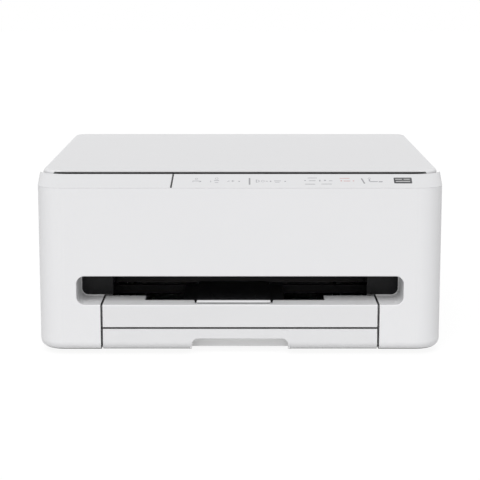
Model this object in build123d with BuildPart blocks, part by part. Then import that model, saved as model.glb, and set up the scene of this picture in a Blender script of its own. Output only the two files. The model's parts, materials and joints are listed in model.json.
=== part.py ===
from math import atan2, cos, degrees, hypot, pi, radians, sin
import os

from build123d import *

# An inkjet multifunction printer: flatbed scanner on top, print engine and paper cassette below.
# Millimetres. The front faces -Y and +Z is up. The origin is under the middle of the body, on the table.

# Overall size
body_width = 376.0
body_depth = 350.0
foot_height = 4.5
lid_top = 170.4

# Walls, seams and clearances
wall = 2.5
thin_wall = 2.0
seam = 0.5
top_seam = 0.1
drawer_gap = 1.6
band_gap = 1.3
slide_gap = 0.3
running_gap = 0.05
joint_gap = 0.5

# Outer body
front_corner = 24.0
rear_corner = 12.0
bottom_radius = 8.0
bottom_lip = 14.0
crease_height = 157.5
rear_depth = 25.0
rear_top = 150.0

# Output slot and the two bands below it
slot_half = 151.6
slot_low = 48.1
slot_high = 75.0
slot_corner = 7.5
slot_depth = 42.0
slot_rim = 0.8
front_half = 127.8
band_split = 25.95
band_rim = 1.2
grip_half = 45.0
grip_top = 16.2
grip_depth = 16.5
grip_corner = 6.0

# Paper path
paper_centre = -5.5
paper_half = 105.0
paper_length = 297.0
liner_half = 121.0

# Sloping strip in front of the lid
strip_run = 22.0
strip_land = 1.2
strip_top = 167.7
strip_corner = 22.0
panel_left = -64.4
panel_lean = 1.6
panel_right = 163.0
panel_margin = 1.5
panel_thick = 0.6
panel_groove = 1.1

# Document cover
lid_half = 185.5
lid_gap = 1.5
lid_rear_gap = 3.5
lid_corner = 24.5
lid_bottom = 161.5
lid_skin = 2.2
lid_edge = 3.0
lid_axis_in = 4.0
lid_axis_z = 163.5
lid_ear_radius = 3.0
lid_pin_radius = 1.5
lid_hinge_x = 110.0
hinge_width = 12.0
ear_width = 5.5

# Scanner unit
scanner_rear_gap = 15.5
bed_top = 161.0
glass_thick = 2.5
glass_half = 155.0
glass_setback = 37.0
glass_depth = 226.0
glass_ledge = 3.0
tray_half = 180.0
tray_setback = 7.0
tray_rear_gap = 11.5
tray_low = 143.0
scanner_axis_out = 3.5
scanner_axis_z = 153.0
scanner_ear_radius = 2.6
scanner_pin_radius = 1.2
scanner_hinge_x = 150.0
scan_travel = 286.0
scan_bar_width = 18.0
scan_rod_radius = 2.5
scan_rod_z = 148.3

# Cassette and output tray
cassette_half = 127.0
cassette_top = 25.5
cassette_rear_gap = 27.0
cassette_rear_lip = 14.0
channel_half = 129.5
channel_top = 45.0
rail_low = 35.0
rail_thick = 2.0
tray_side_half = 126.0
cut_left = -89.6
cut_right = 79.7
cut_setback = 22.0
pull_left = -41.6
pull_right = 29.8
pull_setback = 6.0
pull_notch = 3.2
pull_thick = 2.7
stopper_half = 19.5
stopper_setback = 11.0
stopper_length = 23.5
stopper_thick = 1.6
stopper_pin_radius = 0.5
guide_height = 24.0
guide_thick = 2.5

# Print engine
plate_x = 168.0
sheet = 1.5
plate_front = -80.0
plate_rear = 51.5
plate_top = 132.0
plate_low = 78.0
base_plate_low = 50.0
base_plate_top = 55.0
paper_plane = 69.0
feed_y = 30.0
feed_radius = 7.0
feed_shaft = 3.0
eject_y = -70.0
eject_radius = 5.0
eject_shaft = 2.5
pinch_radius = 3.5
pinch_shaft = 1.5
bushing_wall = 2.0
guide_rod_y = 32.0
guide_rod_z = 98.0
guide_rod_radius = 4.0
belt_y = 42.0
belt_low = 112.0
belt_width = 6.0
belt_thick = 0.9
belt_x = 150.0
pulley_radius = 6.0
motor_radius = 7.8
platen_left = -117.0
platen_right = 98.0

# Print carriage at its home on the right
carriage_left = 101.0
carriage_right = 165.0
carriage_front = -52.0
carriage_rear = 22.0
carriage_low = 74.0
carriage_top = 118.0
nozzle_z = 71.0
lock_y = -8.0
lock_z = 113.5
lock_length = 42.0
lock_pin_radius = 1.2

# Gears, one module for all
module = 1.0
feed_teeth = 48
idler_teeth = 59
eject_teeth = 34
pinion_teeth = 16
pinion_angle = -60.0
gear_left = -178.0
gear_right = -172.0
tooth_share = 0.55
addendum = 0.8
dedendum = 1.1
idler_pin_radius = 2.5
pinion_shaft = 1.5

# Pick-up arm and the drum that turns the paper at the rear
drum_y = 125.0
drum_z = 47.0
drum_radius = 19.0
drum_front = 56.0
drum_notch_half = 19.0
pickup_axis_y = 75.0
pickup_axis_z = 44.0
pickup_pin = 2.5
pickup_y = 112.0
pickup_z = 33.0
pickup_radius = 11.0
pickup_axle = 2.0
pickup_half = 9.0

# Rear cover
cover_half = 112.0
cover_low = 34.0
cover_high = 116.0
cover_axis_in = 1.5
cover_pin_radius = 1.2
cover_swing_gap = 1.2
cover_rib_count = 7
path_gap = 3.5

# Derived places
half_width = body_width / 2
front_y = -body_depth / 2
rear_y = body_depth / 2
base_bottom = foot_height
floor_top = base_bottom + wall
case_top = crease_height - top_seam
case_split = rear_y - rear_depth
inner_half = half_width - wall
inner_rear = rear_y - wall
opening_half = front_half + drawer_gap
feed_z = paper_plane - feed_radius
eject_z = paper_plane - eject_radius
pinch_z = paper_plane + slide_gap + pinch_radius
recess_back = front_y + slot_depth
output_rear = plate_front
cut_front = front_y + cut_setback
pull_front = front_y + pull_setback
stopper_front = front_y + stopper_setback
strip_back = front_y + strip_run
lid_front = strip_back + lid_gap
lid_rear = rear_y - lid_rear_gap
lid_axis_y = lid_rear - lid_axis_in
scanner_rear = rear_y - scanner_rear_gap
scanner_axis_y = scanner_rear + scanner_axis_out
glass_front = front_y + glass_setback
glass_rear = glass_front + glass_depth
tray_front = front_y + tray_setback
tray_rear = scanner_rear - tray_rear_gap
cassette_rear = rear_y - cassette_rear_gap
pickup_x = paper_centre
cover_axis_y = rear_y - cover_axis_in
cover_axis_z = cover_low + cover_axis_in


def block(x, y, z, mode=Mode.ADD):
    # a box from its low and high face along each axis
    with Locations(((x[0] + x[1]) / 2, (y[0] + y[1]) / 2, (z[0] + z[1]) / 2)):
        Box(x[1] - x[0], y[1] - y[0], z[1] - z[0], mode=mode)


def span(side, near, far):
    # the same stretch of X on the right (side 1) or the left (side -1)
    return (near, far) if side > 0 else (-far, -near)


def bar_x(x, y, z, radius, mode=Mode.ADD):
    # a round bar along X
    with BuildSketch(Plane.YZ.offset(x[0])) as end:
        with Locations((y, z)):
            Circle(radius)
    extrude(end.sketch, amount=x[1] - x[0], mode=mode)


def bar_z(x, y, z, radius, mode=Mode.ADD):
    # a round bar along Z
    with BuildSketch(Plane.XY.offset(z[0])) as end:
        with Locations((x, y)):
            Circle(radius)
    extrude(end.sketch, amount=z[1] - z[0], mode=mode)


def body_plan(inset, z):
    # the outline of the body seen from above, drawn in by inset
    with BuildSketch(Plane.XY.offset(z)) as plan:
        Rectangle(body_width - 2 * inset, body_depth - 2 * inset)
        fillet(plan.vertices().group_by(Axis.Y)[0], front_corner - inset)
        fillet(plan.vertices().group_by(Axis.Y)[-1], rear_corner - inset)
    return plan.sketch


def top_plan(half, front, rear, corner, back_corner, z):
    # an outline with round corners, larger at the front
    with BuildSketch(Plane.XY.offset(z)) as plan:
        with Locations((0, (front + rear) / 2)):
            Rectangle(2 * half, rear - front)
        fillet(plan.vertices().group_by(Axis.Y)[0], corner)
        fillet(plan.vertices().group_by(Axis.Y)[-1], back_corner)
    return plan.sketch


def panel_outline(left):
    # the touch panel on the sloping strip; its left end leans to the right towards the lid
    with BuildSketch(slope) as outline:
        Polygon(
            (left, -panel_length / 2),
            (panel_right, -panel_length / 2),
            (panel_right, panel_length / 2),
            (left + panel_lean, panel_length / 2),
            align=None,
        )
    return outline.sketch


def slot_outline(grow, y):
    # the output slot seen from the front, on the plane at y
    with BuildSketch(Plane.XZ.offset(-y)) as outline:
        with Locations((0, (slot_low + slot_high) / 2)):
            RectangleRounded(2 * (slot_half + grow), slot_high - slot_low + 2 * grow, slot_corner + grow)
    return outline.sketch


def pitch_radius(teeth):
    return module * teeth / 2


def mesh_phase(phase, teeth, angle, mate_teeth):
    # where the mate's first tooth stands so that its gap takes the tooth of the gear at this phase
    lead = (angle - phase) % (2 * pi / teeth)
    return angle + pi + lead * teeth / mate_teeth + pi / mate_teeth


def gear_blank(x, y, z, teeth, phase):
    # a spur gear along X with straight-flanked teeth
    root = pitch_radius(teeth) - dedendum * module
    tip = pitch_radius(teeth) + addendum * module
    half_root = module * pi * tooth_share / 2
    half_tip = half_root / 2
    with BuildSketch(Plane.YZ.offset(x[0])) as face:
        with Locations((y, z)):
            Circle(root)
        with Locations((y, z)):
            with PolarLocations(0, teeth, degrees(phase)):
                Polygon(
                    (root - dedendum, -half_root),
                    (tip, -half_tip),
                    (tip, half_tip),
                    (root - dedendum, half_root),
                    align=None,
                )
    extrude(face.sketch, amount=x[1] - x[0])


os.makedirs("parts", exist_ok=True)

# Solid outer body and its hollow, shared by the front and rear cases
with BuildPart() as body_block:
    extrude(body_plan(0, base_bottom), amount=case_top - base_bottom)
    fillet(body_block.faces().sort_by(Axis.Z)[0].edges(), bottom_radius)

with BuildPart() as body_hollow:
    extrude(body_plan(wall, floor_top), amount=case_top - floor_top)
    fillet(body_hollow.faces().sort_by(Axis.Z)[0].edges(), bottom_radius - wall)

lip_half = half_width - bottom_lip
lip_front = front_y + bottom_lip
lip_rear = rear_y - bottom_lip

# Front case: the white front and sides, with the slot pocket
with BuildPart() as front_case:
    add(body_block.part)
    add(body_hollow.part, mode=Mode.SUBTRACT)
    extrude(slot_outline(thin_wall, front_y + wall), amount=wall - slot_depth)
    extrude(slot_outline(0, front_y), amount=-slot_depth, mode=Mode.SUBTRACT)
    fillet(front_case.faces().sort_by(Axis.Y)[0].inner_wires()[0].edges(), slot_rim)
    block((-opening_half, opening_half), (front_y - 1, recess_back + 1), (0, slot_low), Mode.SUBTRACT)
    block((-lip_half, lip_half), (lip_front, rear_y), (0, floor_top), Mode.SUBTRACT)
    block((-half_width, half_width), (case_split, rear_y), (0, lid_top), Mode.SUBTRACT)
front_case.part.label = "front_case"
export_step(front_case.part, "parts/front_case.step")

# Rear case: back wall, corners and the shelf that carries the scanner hinges
inlet_x = (-163.0, -141.0)
inlet_z = (14.0, 30.0)
usb_x = (146.0, 158.0)
usb_z = (29.6, 40.6)
screw_radius = 3.2
screw_head = 1.8
screw_slot = 0.8
screw_heights = (70.0, 135.0)
vent_x = 140.0
vent_z = 102.0
vent_count = 8
vent_pitch = 5.5
vent_width = 2.2
vent_height = 30.0
plate_recess = (76.0, 15.0, 0.4)
plate_z = 133.0
cover_ear = 4.0
with BuildPart() as rear_case:
    add(body_block.part)
    add(body_hollow.part, mode=Mode.SUBTRACT)
    extrude(body_plan(wall, rear_top - wall), amount=wall)
    block((-half_width, half_width), (front_y, case_split), (0, lid_top), Mode.SUBTRACT)
    block((-half_width, half_width), (0, rear_y), (rear_top, lid_top), Mode.SUBTRACT)
    block((-lip_half, lip_half), (case_split, lip_rear), (0, floor_top), Mode.SUBTRACT)
    cover_room = cover_half + joint_gap
    block(
        (-cover_room, cover_room),
        (inner_rear - 1, rear_y + 1),
        (cover_low - cover_swing_gap, cover_high + joint_gap),
        Mode.SUBTRACT,
    )
    block(inlet_x, (inner_rear - 1, rear_y + 1), inlet_z, Mode.SUBTRACT)
    block(usb_x, (inner_rear - 1, rear_y + 1), usb_z, Mode.SUBTRACT)
    with BuildSketch(Plane.XZ.offset(-rear_y)):
        for x in (-scanner_hinge_x, scanner_hinge_x):
            for z in screw_heights:
                with Locations((x, z)):
                    Circle(screw_radius)
        # air vents on both sides of the rear cover
        for x in (-vent_x, vent_x):
            with Locations((x, vent_z)):
                with GridLocations(vent_pitch, 1, vent_count, 1):
                    SlotOverall(vent_height, vent_width, rotation=90)
    extrude(amount=wall, mode=Mode.SUBTRACT)
    # shallow recess for a blank plate above the rear cover
    with BuildSketch(Plane.XZ.offset(-rear_y)):
        with Locations((0, plate_z)):
            RectangleRounded(plate_recess[0], plate_recess[1], 2 * plate_recess[2])
    extrude(amount=plate_recess[2], mode=Mode.SUBTRACT)
    for side in (-1, 1):
        # ears that carry the rear cover's pins
        block(
            span(side, cover_room, cover_room + cover_ear),
            (inner_rear - cover_ear, inner_rear),
            (cover_axis_z - cover_ear, cover_axis_z + cover_ear),
        )
        bar_x(
            span(side, cover_room - 1, cover_room + cover_ear),
            cover_axis_y,
            cover_axis_z,
            cover_pin_radius + running_gap,
            Mode.SUBTRACT,
        )
rear_case.part.label = "rear_case"
export_step(rear_case.part, "parts/rear_case.step")

# Base: floor, the channel that guides the cassette, and the rails of the output tray
rail_top = rail_low + rail_thick
with BuildPart() as base_case:
    block((-lip_half, lip_half), (lip_front, lip_rear), (base_bottom, floor_top))
    finger_half = grip_half + wall + drawer_gap
    block(
        (-finger_half, finger_half),
        (lip_front - 1, front_y + grip_depth + wall + drawer_gap),
        (0, floor_top),
        Mode.SUBTRACT,
    )
    for side in (-1, 1):
        block(
            span(side, channel_half, channel_half + thin_wall),
            (lip_front, cassette_rear + thin_wall),
            (floor_top, channel_top),
        )
        block(
            span(side, tray_side_half + slide_gap, channel_half),
            (lip_front, output_rear),
            (rail_low, rail_top),
        )
base_case.part.label = "base_case"
export_step(base_case.part, "parts/base_case.step")

# Rubber feet under the floor
foot_x = 150.0
foot_front = front_y + 40
foot_rear = rear_y - 35
foot_radius = 8.0
with BuildPart() as rubber_feet:
    for x in (-foot_x, foot_x):
        for y in (foot_front, foot_rear):
            bar_z(x, y, (0, foot_height), foot_radius)
rubber_feet.part.label = "rubber_feet"
export_step(rubber_feet.part, "parts/rubber_feet.step")

# Screws in the back wall, with their heads below its face
with BuildPart() as case_screws:
    for x in (-scanner_hinge_x, scanner_hinge_x):
        for z in screw_heights:
            with BuildSketch(Plane.XZ.offset(-inner_rear)):
                with Locations((x, z)):
                    Circle(screw_radius)
            extrude(amount=-screw_head)
            with BuildSketch(Plane.XZ.offset(-inner_rear - screw_head)):
                with Locations((x, z)):
                    Rectangle(screw_radius, screw_slot)
                    Rectangle(screw_slot, screw_radius)
            extrude(amount=screw_slot, mode=Mode.SUBTRACT)
case_screws.part.label = "case_screws"
export_step(case_screws.part, "parts/case_screws.step")

# Deck under the scanner, open over the carriage
deck_low = 138.0
with BuildPart() as inner_deck:
    extrude(top_plan(inner_half, front_y + wall, case_split, front_corner - wall, 1, deck_low), amount=wall)
    block((-plate_x, plate_x), (carriage_front - 10, plate_rear - 10), (0, lid_top), Mode.SUBTRACT)
inner_deck.part.label = "inner_deck"
export_step(inner_deck.part, "parts/inner_deck.step")

# Black liner behind the output slot
liner_rear = plate_front - 2
with BuildPart() as slot_liner:
    extrude(slot_outline(thin_wall, recess_back), amount=-thin_wall)
    block((-slot_half, slot_half), (recess_back, liner_rear), (slot_high, slot_high + thin_wall))
    for side in (-1, 1):
        block(
            span(side, liner_half, liner_half + thin_wall),
            (recess_back, liner_rear),
            (slot_low + 1, slot_high),
        )
    block(
        (-liner_half, liner_half),
        (recess_back - 1, recess_back + thin_wall + 1),
        (0, slot_high),
        Mode.SUBTRACT,
    )
    block((-opening_half, opening_half), (front_y, liner_rear), (0, slot_low + 1), Mode.SUBTRACT)
slot_liner.part.label = "slot_liner"
export_step(slot_liner.part, "parts/slot_liner.step")

# Metal frame: side plates, rear plate with its top flange, and the front rail of the carriage
rail_y = (-60.0, -56.0)
rail_z = (80.0, 83.7)
flange_front = 33.0
motor_hole = 2.5
with BuildPart() as main_frame:
    for side in (-1, 1):
        block(span(side, plate_x, plate_x + sheet), (plate_front, plate_rear), (floor_top, plate_top))
    block((-plate_x, plate_x), (plate_rear - sheet, plate_rear), (plate_low, plate_top))
    block((-plate_x, plate_x), (flange_front, plate_rear), (plate_top - sheet, plate_top))
    block((-plate_x, plate_x), rail_y, rail_z)
    holes = (
        (guide_rod_y, guide_rod_z, guide_rod_radius),
        (feed_y, feed_z, feed_shaft + running_gap + bushing_wall),
        (eject_y, eject_z, eject_shaft + running_gap + bushing_wall),
    )
    for y, z, radius in holes:
        bar_x((-plate_x - sheet, plate_x + sheet), y, z, radius, Mode.SUBTRACT)
    # stud of the idler gear and the hole of the feed motor's shaft
    gear_reach = pitch_radius(feed_teeth) + pitch_radius(idler_teeth)
    train_angle = atan2(eject_z - feed_z, eject_y - feed_y)
    idler_y = feed_y + gear_reach * cos(train_angle)
    idler_z = feed_z + gear_reach * sin(train_angle)
    pinion_reach = pitch_radius(feed_teeth) + pitch_radius(pinion_teeth)
    pinion_y = feed_y + pinion_reach * cos(radians(pinion_angle))
    pinion_z = feed_z + pinion_reach * sin(radians(pinion_angle))
    bar_x((gear_left - 1, -plate_x - sheet), idler_y, idler_z, idler_pin_radius)
    bar_x((-plate_x - sheet, -plate_x), pinion_y, pinion_z, motor_hole, Mode.SUBTRACT)
    # stud of the idler pulley, hung from the top flange
    bar_z(belt_x, belt_y, (belt_low - 1, plate_top - sheet), idler_pin_radius)
    bar_z(belt_x, belt_y, (belt_low + belt_width + slide_gap, plate_top - sheet), pulley_radius)
main_frame.part.label = "main_frame"
export_step(main_frame.part, "parts/main_frame.step")

# Rod that the print carriage runs on
with BuildPart() as guide_rod:
    bar_x((-plate_x - sheet, plate_x + sheet), guide_rod_y, guide_rod_z, guide_rod_radius)
guide_rod.part.label = "guide_rod"
export_step(guide_rod.part, "parts/guide_rod.step")

# Bushings of the two roller shafts
with BuildPart() as shaft_bushings:
    for side in (-1, 1):
        for y, z, shaft in ((feed_y, feed_z, feed_shaft), (eject_y, eject_z, eject_shaft)):
            bore = shaft + running_gap
            ends = span(side, plate_x, plate_x + sheet)
            bar_x(ends, y, z, bore + bushing_wall)
            bar_x(ends, y, z, bore, Mode.SUBTRACT)
shaft_bushings.part.label = "shaft_bushings"
export_step(shaft_bushings.part, "parts/shaft_bushings.step")

# Black chassis under the platen
with BuildPart() as print_base:
    block((-plate_x, plate_x), (plate_front + 2, feed_y - 10), (base_plate_low, base_plate_top))
    for side in (-1, 1):
        # legs down to the floor, outside the cassette channel
        block(
            span(side, channel_half + thin_wall, channel_half + 2 * thin_wall),
            (plate_front + 2, feed_y - 10),
            (floor_top, base_plate_low),
        )
print_base.part.label = "print_base"
export_step(print_base.part, "parts/print_base.step")

# Platen with its ribs, between the two rollers
platen_front = eject_y + eject_radius + 3
platen_rear = feed_y - feed_radius - 3
rib_pitch = 12.0
rib_count = 17
with BuildPart() as platen:
    block((platen_left, platen_right), (platen_front, platen_rear), (base_plate_top, nozzle_z - 5))
    with Locations(((platen_left + platen_right) / 2, (platen_front + platen_rear) / 2, nozzle_z - 4.5)):
        with GridLocations(rib_pitch, 1, rib_count, 1):
            Box(1, platen_rear - platen_front, 2)
platen.part.label = "platen"
export_step(platen.part, "parts/platen.step")

# Drum that turns the paper round at the rear, notched below for the pick-up arm
with BuildPart() as paper_drum:
    with BuildSketch(Plane.YZ.offset(-channel_half)):
        with Locations((drum_y, drum_z)):
            Circle(drum_radius)
        with Locations(((drum_front + drum_y) / 2, drum_z)):
            Rectangle(drum_y - drum_front, 2 * drum_radius)
    extrude(amount=2 * channel_half)
    notch = (pickup_x - drum_notch_half, pickup_x + drum_notch_half)
    block(notch, (drum_front + 6, rear_y), (0, drum_z + drum_radius - 2 * wall), Mode.SUBTRACT)
    bar_x(notch, pickup_axis_y, pickup_axis_z, pickup_pin)
    # the space inside the drum on both sides of the notch
    for x in ((-channel_half + wall, notch[0] - wall), (notch[1] + wall, channel_half - wall)):
        block(
            x,
            (drum_front + wall, drum_y),
            (drum_z - drum_radius + wall, drum_z + drum_radius - wall),
            Mode.SUBTRACT,
        )
paper_drum.part.label = "paper_drum"
export_step(paper_drum.part, "parts/paper_drum.step")

# Holder of the pinch rollers, hung under the rear plate
roller_left = paper_centre - paper_half - 4
roller_right = paper_centre + paper_half + 4
holder_low = 75.0
arm_count = 5
arm_width = 4.0
arm_pitch = (roller_right - roller_left) / (arm_count - 1)
arm_places = [roller_left + arm_pitch * i for i in range(arm_count)]
with BuildPart() as pinch_holder:
    block((roller_left - 4, roller_right + 4), (feed_y + 9, plate_rear), (holder_low, plate_low))
    for x in arm_places:
        block((x - arm_width / 2, x + arm_width / 2), (feed_y - 3, feed_y + 9), (pinch_z - 2.7, plate_low))
        bar_x(
            (x - arm_width / 2, x + arm_width / 2),
            feed_y,
            pinch_z,
            pinch_shaft + running_gap,
            Mode.SUBTRACT,
        )
pinch_holder.part.label = "pinch_holder"
export_step(pinch_holder.part, "parts/pinch_holder.step")

# Pinch rollers on one shaft
with BuildPart() as pinch_rollers:
    bar_x((roller_left - 4, roller_right + 4), feed_y, pinch_z, pinch_shaft)
    for x in arm_places[:-1]:
        middle = x + arm_pitch / 2
        bar_x((middle - arm_pitch / 4, middle + arm_pitch / 4), feed_y, pinch_z, pinch_radius)
pinch_rollers.part.label = "pinch_rollers"
export_step(pinch_rollers.part, "parts/pinch_rollers.step")

# Feed roller: coated bar on a steel shaft
shaft_right = plate_x + sheet + 2
with BuildPart() as feed_roller:
    bar_x((gear_left - 2, shaft_right), feed_y, feed_z, feed_shaft)
    bar_x((roller_left, roller_right), feed_y, feed_z, feed_radius)
feed_roller.part.label = "feed_roller"
export_step(feed_roller.part, "parts/feed_roller.step")

# Gear train on the left side: feed gear, idler and motor pinion
gear_x = (gear_left, gear_right)
feed_phase = train_angle
idler_phase = mesh_phase(feed_phase, feed_teeth, train_angle, idler_teeth)
eject_phase = mesh_phase(idler_phase, idler_teeth, train_angle, eject_teeth)
pinion_phase = mesh_phase(feed_phase, feed_teeth, radians(pinion_angle), pinion_teeth)
with BuildPart() as feed_gear:
    gear_blank(gear_x, feed_y, feed_z, feed_teeth, feed_phase)
    bar_x(gear_x, feed_y, feed_z, feed_shaft, Mode.SUBTRACT)
feed_gear.part.label = "feed_gear"
export_step(feed_gear.part, "parts/feed_gear.step")

with BuildPart() as idler_gear:
    gear_blank(gear_x, idler_y, idler_z, idler_teeth, idler_phase)
    bar_x(gear_x, idler_y, idler_z, idler_pin_radius + running_gap, Mode.SUBTRACT)
idler_gear.part.label = "idler_gear"
export_step(idler_gear.part, "parts/idler_gear.step")

with BuildPart() as motor_pinion:
    gear_blank(gear_x, pinion_y, pinion_z, pinion_teeth, pinion_phase)
    bar_x((gear_right, -plate_x + 8), pinion_y, pinion_z, pinion_shaft)
motor_pinion.part.label = "motor_pinion"
export_step(motor_pinion.part, "parts/motor_pinion.step")

# Eject roller: narrow tyres and the last gear, moulded on a thinner shaft
tyre_width = 8.0
tyre_count = 8
tyre_pitch = (roller_right - roller_left - 2 * tyre_width) / (tyre_count - 1)
with BuildPart() as eject_roller:
    bar_x((gear_left - 2, shaft_right), eject_y, eject_z, eject_shaft)
    gear_blank(gear_x, eject_y, eject_z, eject_teeth, eject_phase)
    for i in range(tyre_count):
        x = roller_left + tyre_width + tyre_pitch * i
        bar_x((x - tyre_width / 2, x + tyre_width / 2), eject_y, eject_z, eject_radius)
eject_roller.part.label = "eject_roller"
export_step(eject_roller.part, "parts/eject_roller.step")

# Feed motor on the inside of the left plate
feed_motor_radius = 12.0
feed_motor_length = 24.0
with BuildPart() as feed_motor:
    bar_x((-plate_x, -plate_x + feed_motor_length), pinion_y, pinion_z, feed_motor_radius)
    bar_x((-plate_x, -plate_x + 9), pinion_y, pinion_z, pinion_shaft + running_gap, Mode.SUBTRACT)
feed_motor.part.label = "feed_motor"
export_step(feed_motor.part, "parts/feed_motor.step")

# Carriage belt, its two pulleys and the motor under the top flange
belt_z = (belt_low, belt_low + belt_width)
belt_inner = pulley_radius + running_gap
belt_outer = belt_inner + belt_thick
with BuildPart() as carriage_belt:
    with BuildSketch(Plane.XY.offset(belt_low)):
        with Locations((0, belt_y)):
            SlotCenterToCenter(2 * belt_x, 2 * belt_outer)
            SlotCenterToCenter(2 * belt_x, 2 * belt_inner, mode=Mode.SUBTRACT)
    extrude(amount=belt_width)
carriage_belt.part.label = "carriage_belt"
export_step(carriage_belt.part, "parts/carriage_belt.step")

flange_low = plate_top - sheet
motor_low = belt_low + belt_width + 1.2
with BuildPart() as carriage_motor:
    bar_z(-belt_x, belt_y, (motor_low, flange_low), motor_radius)
    bar_z(-belt_x, belt_y, (motor_low, motor_low + 6), pinion_shaft + running_gap, Mode.SUBTRACT)
carriage_motor.part.label = "carriage_motor"
export_step(carriage_motor.part, "parts/carriage_motor.step")

with BuildPart() as drive_pulley:
    bar_z(-belt_x, belt_y, belt_z, pulley_radius)
    bar_z(-belt_x, belt_y, (belt_z[1], motor_low + 5), pinion_shaft)
drive_pulley.part.label = "drive_pulley"
export_step(drive_pulley.part, "parts/drive_pulley.step")

with BuildPart() as idler_pulley:
    bar_z(belt_x, belt_y, belt_z, pulley_radius)
    bar_z(belt_x, belt_y, belt_z, idler_pin_radius + running_gap, Mode.SUBTRACT)
idler_pulley.part.label = "idler_pulley"
export_step(idler_pulley.part, "parts/idler_pulley.step")

# Encoder strip stretched between the side plates
strip_z = (121.0, 127.0)
with BuildPart() as encoder_strip:
    block((-plate_x, plate_x), (guide_rod_y - 2, guide_rod_y - 1.5), strip_z)
encoder_strip.part.label = "encoder_strip"
export_step(encoder_strip.part, "parts/encoder_strip.step")

# Print carriage: two bays open to the front, a bearing round the rod and a clamp for the belt
bay_middle = (carriage_left + carriage_right) / 2
bays = (
    (carriage_left + thin_wall, bay_middle - thin_wall / 2),
    (bay_middle + thin_wall / 2, carriage_right - thin_wall),
)
bearing_half = 7.0
foot_low = rail_z[1] + slide_gap
lock_hole = lock_pin_radius + running_gap
with BuildPart() as print_carriage:
    block((carriage_left, carriage_right), (carriage_front, carriage_rear), (carriage_low, carriage_top))
    for x in bays:
        block(x, (carriage_front - 1, carriage_rear - 4), (carriage_low + 2, carriage_top + 1), Mode.SUBTRACT)
        block((x[0] + 4, x[1] - 4), (-44, -8), (carriage_low - 1, carriage_low + 3), Mode.SUBTRACT)
    # the bay walls are cut low in front so that a cartridge can be gripped
    block(
        (carriage_left - 1, carriage_right + 1),
        (carriage_front - 1, lock_y - 6),
        (lock_z - 8, carriage_top + 1),
        Mode.SUBTRACT,
    )
    block(
        (carriage_left, carriage_right),
        (carriage_rear, guide_rod_y + bearing_half),
        (guide_rod_z - bearing_half, guide_rod_z + bearing_half),
    )
    bar_x(
        (carriage_left, carriage_right),
        guide_rod_y,
        guide_rod_z,
        guide_rod_radius + running_gap,
        Mode.SUBTRACT,
    )
    block((bay_middle - 10, bay_middle + 10), (carriage_rear, belt_y - belt_outer - slide_gap), belt_z)
    block((carriage_left, carriage_right), (rail_y[0], carriage_front), (foot_low, foot_low + 3))
    bar_x((carriage_left, carriage_right), lock_y, lock_z, lock_hole, Mode.SUBTRACT)
print_carriage.part.label = "print_carriage"
export_step(print_carriage.part, "parts/print_carriage.step")

# Ink cartridges and the covers that lock them, one of each per bay
cartridge_gap = 0.5
cartridge_names = ("black", "colour")
for name, x in zip(cartridge_names, bays):
    body_x = (x[0] + cartridge_gap, x[1] - cartridge_gap)
    with BuildPart() as cartridge:
        block(body_x, (carriage_front + 3, 12), (carriage_low + 2, lock_z - 2.5))
        block((x[0] + 6, x[1] - 6), (-42, -10), (nozzle_z, carriage_low + 2))
        top_edges = cartridge.faces().sort_by(Axis.Z)[-1].edges()
        fillet(top_edges, 1.5)
    cartridge.part.label = f"ink_cartridge_{name}"
    export_step(cartridge.part, f"parts/ink_cartridge_{name}.step")

    with BuildPart() as lock:
        block(body_x, (lock_y - lock_length, lock_y + 2), (lock_z - 1, lock_z + 2))
        bar_x((x[0] - 1.0, x[1] + 1.0), lock_y, lock_z, lock_pin_radius)
        bar_x(body_x, lock_y, lock_z, 2.0)
    lock.part.label = f"cartridge_lock_{name}"
    export_step(lock.part, f"parts/cartridge_lock_{name}.step")

# Purge unit under the carriage's home, with two caps that drop and a wiper
cap_travel = 3.0
cap_y = (-42.0, -10.0)
cap_top = nozzle_z - joint_gap
purge_top = 66.0
with BuildPart() as purge_unit:
    block((carriage_left + 2, carriage_right - 2), (-46, 16), (base_plate_top, purge_top))
    for x in bays:
        block(
            (x[0] + 4, x[1] - 4),
            (cap_y[0] - 1, cap_y[1] + 1),
            (base_plate_top + 2, purge_top + 1),
            Mode.SUBTRACT,
        )
    block((bay_middle - 1, bay_middle + 1), (-5, 12), (purge_top, nozzle_z - joint_gap))
purge_unit.part.label = "purge_unit"
export_step(purge_unit.part, "parts/purge_unit.step")

with BuildPart() as purge_caps:
    for x in bays:
        block((x[0] + 5, x[1] - 5), cap_y, (base_plate_top + 2 + cap_travel + slide_gap, cap_top))
        block((x[0] + 7, x[1] - 7), (cap_y[0] + 2, cap_y[1] - 2), (cap_top - 2, cap_top), Mode.SUBTRACT)
purge_caps.part.label = "purge_caps"
export_step(purge_caps.part, "parts/purge_caps.step")

# Felt that takes the waste ink
with BuildPart() as ink_absorber:
    block((channel_half + 2 * thin_wall, plate_x), (-60, 50), (floor_top, channel_top - 1))
ink_absorber.part.label = "ink_absorber"
export_step(ink_absorber.part, "parts/ink_absorber.step")

# Logic board on the outside of the right plate
board_thick = 1.6
standoff = 2.5
board_x = plate_x + sheet + standoff
board_y = (-62.0, 45.0)
board_z = (18.0, 122.0)
standoff_inset = 6.0
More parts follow.
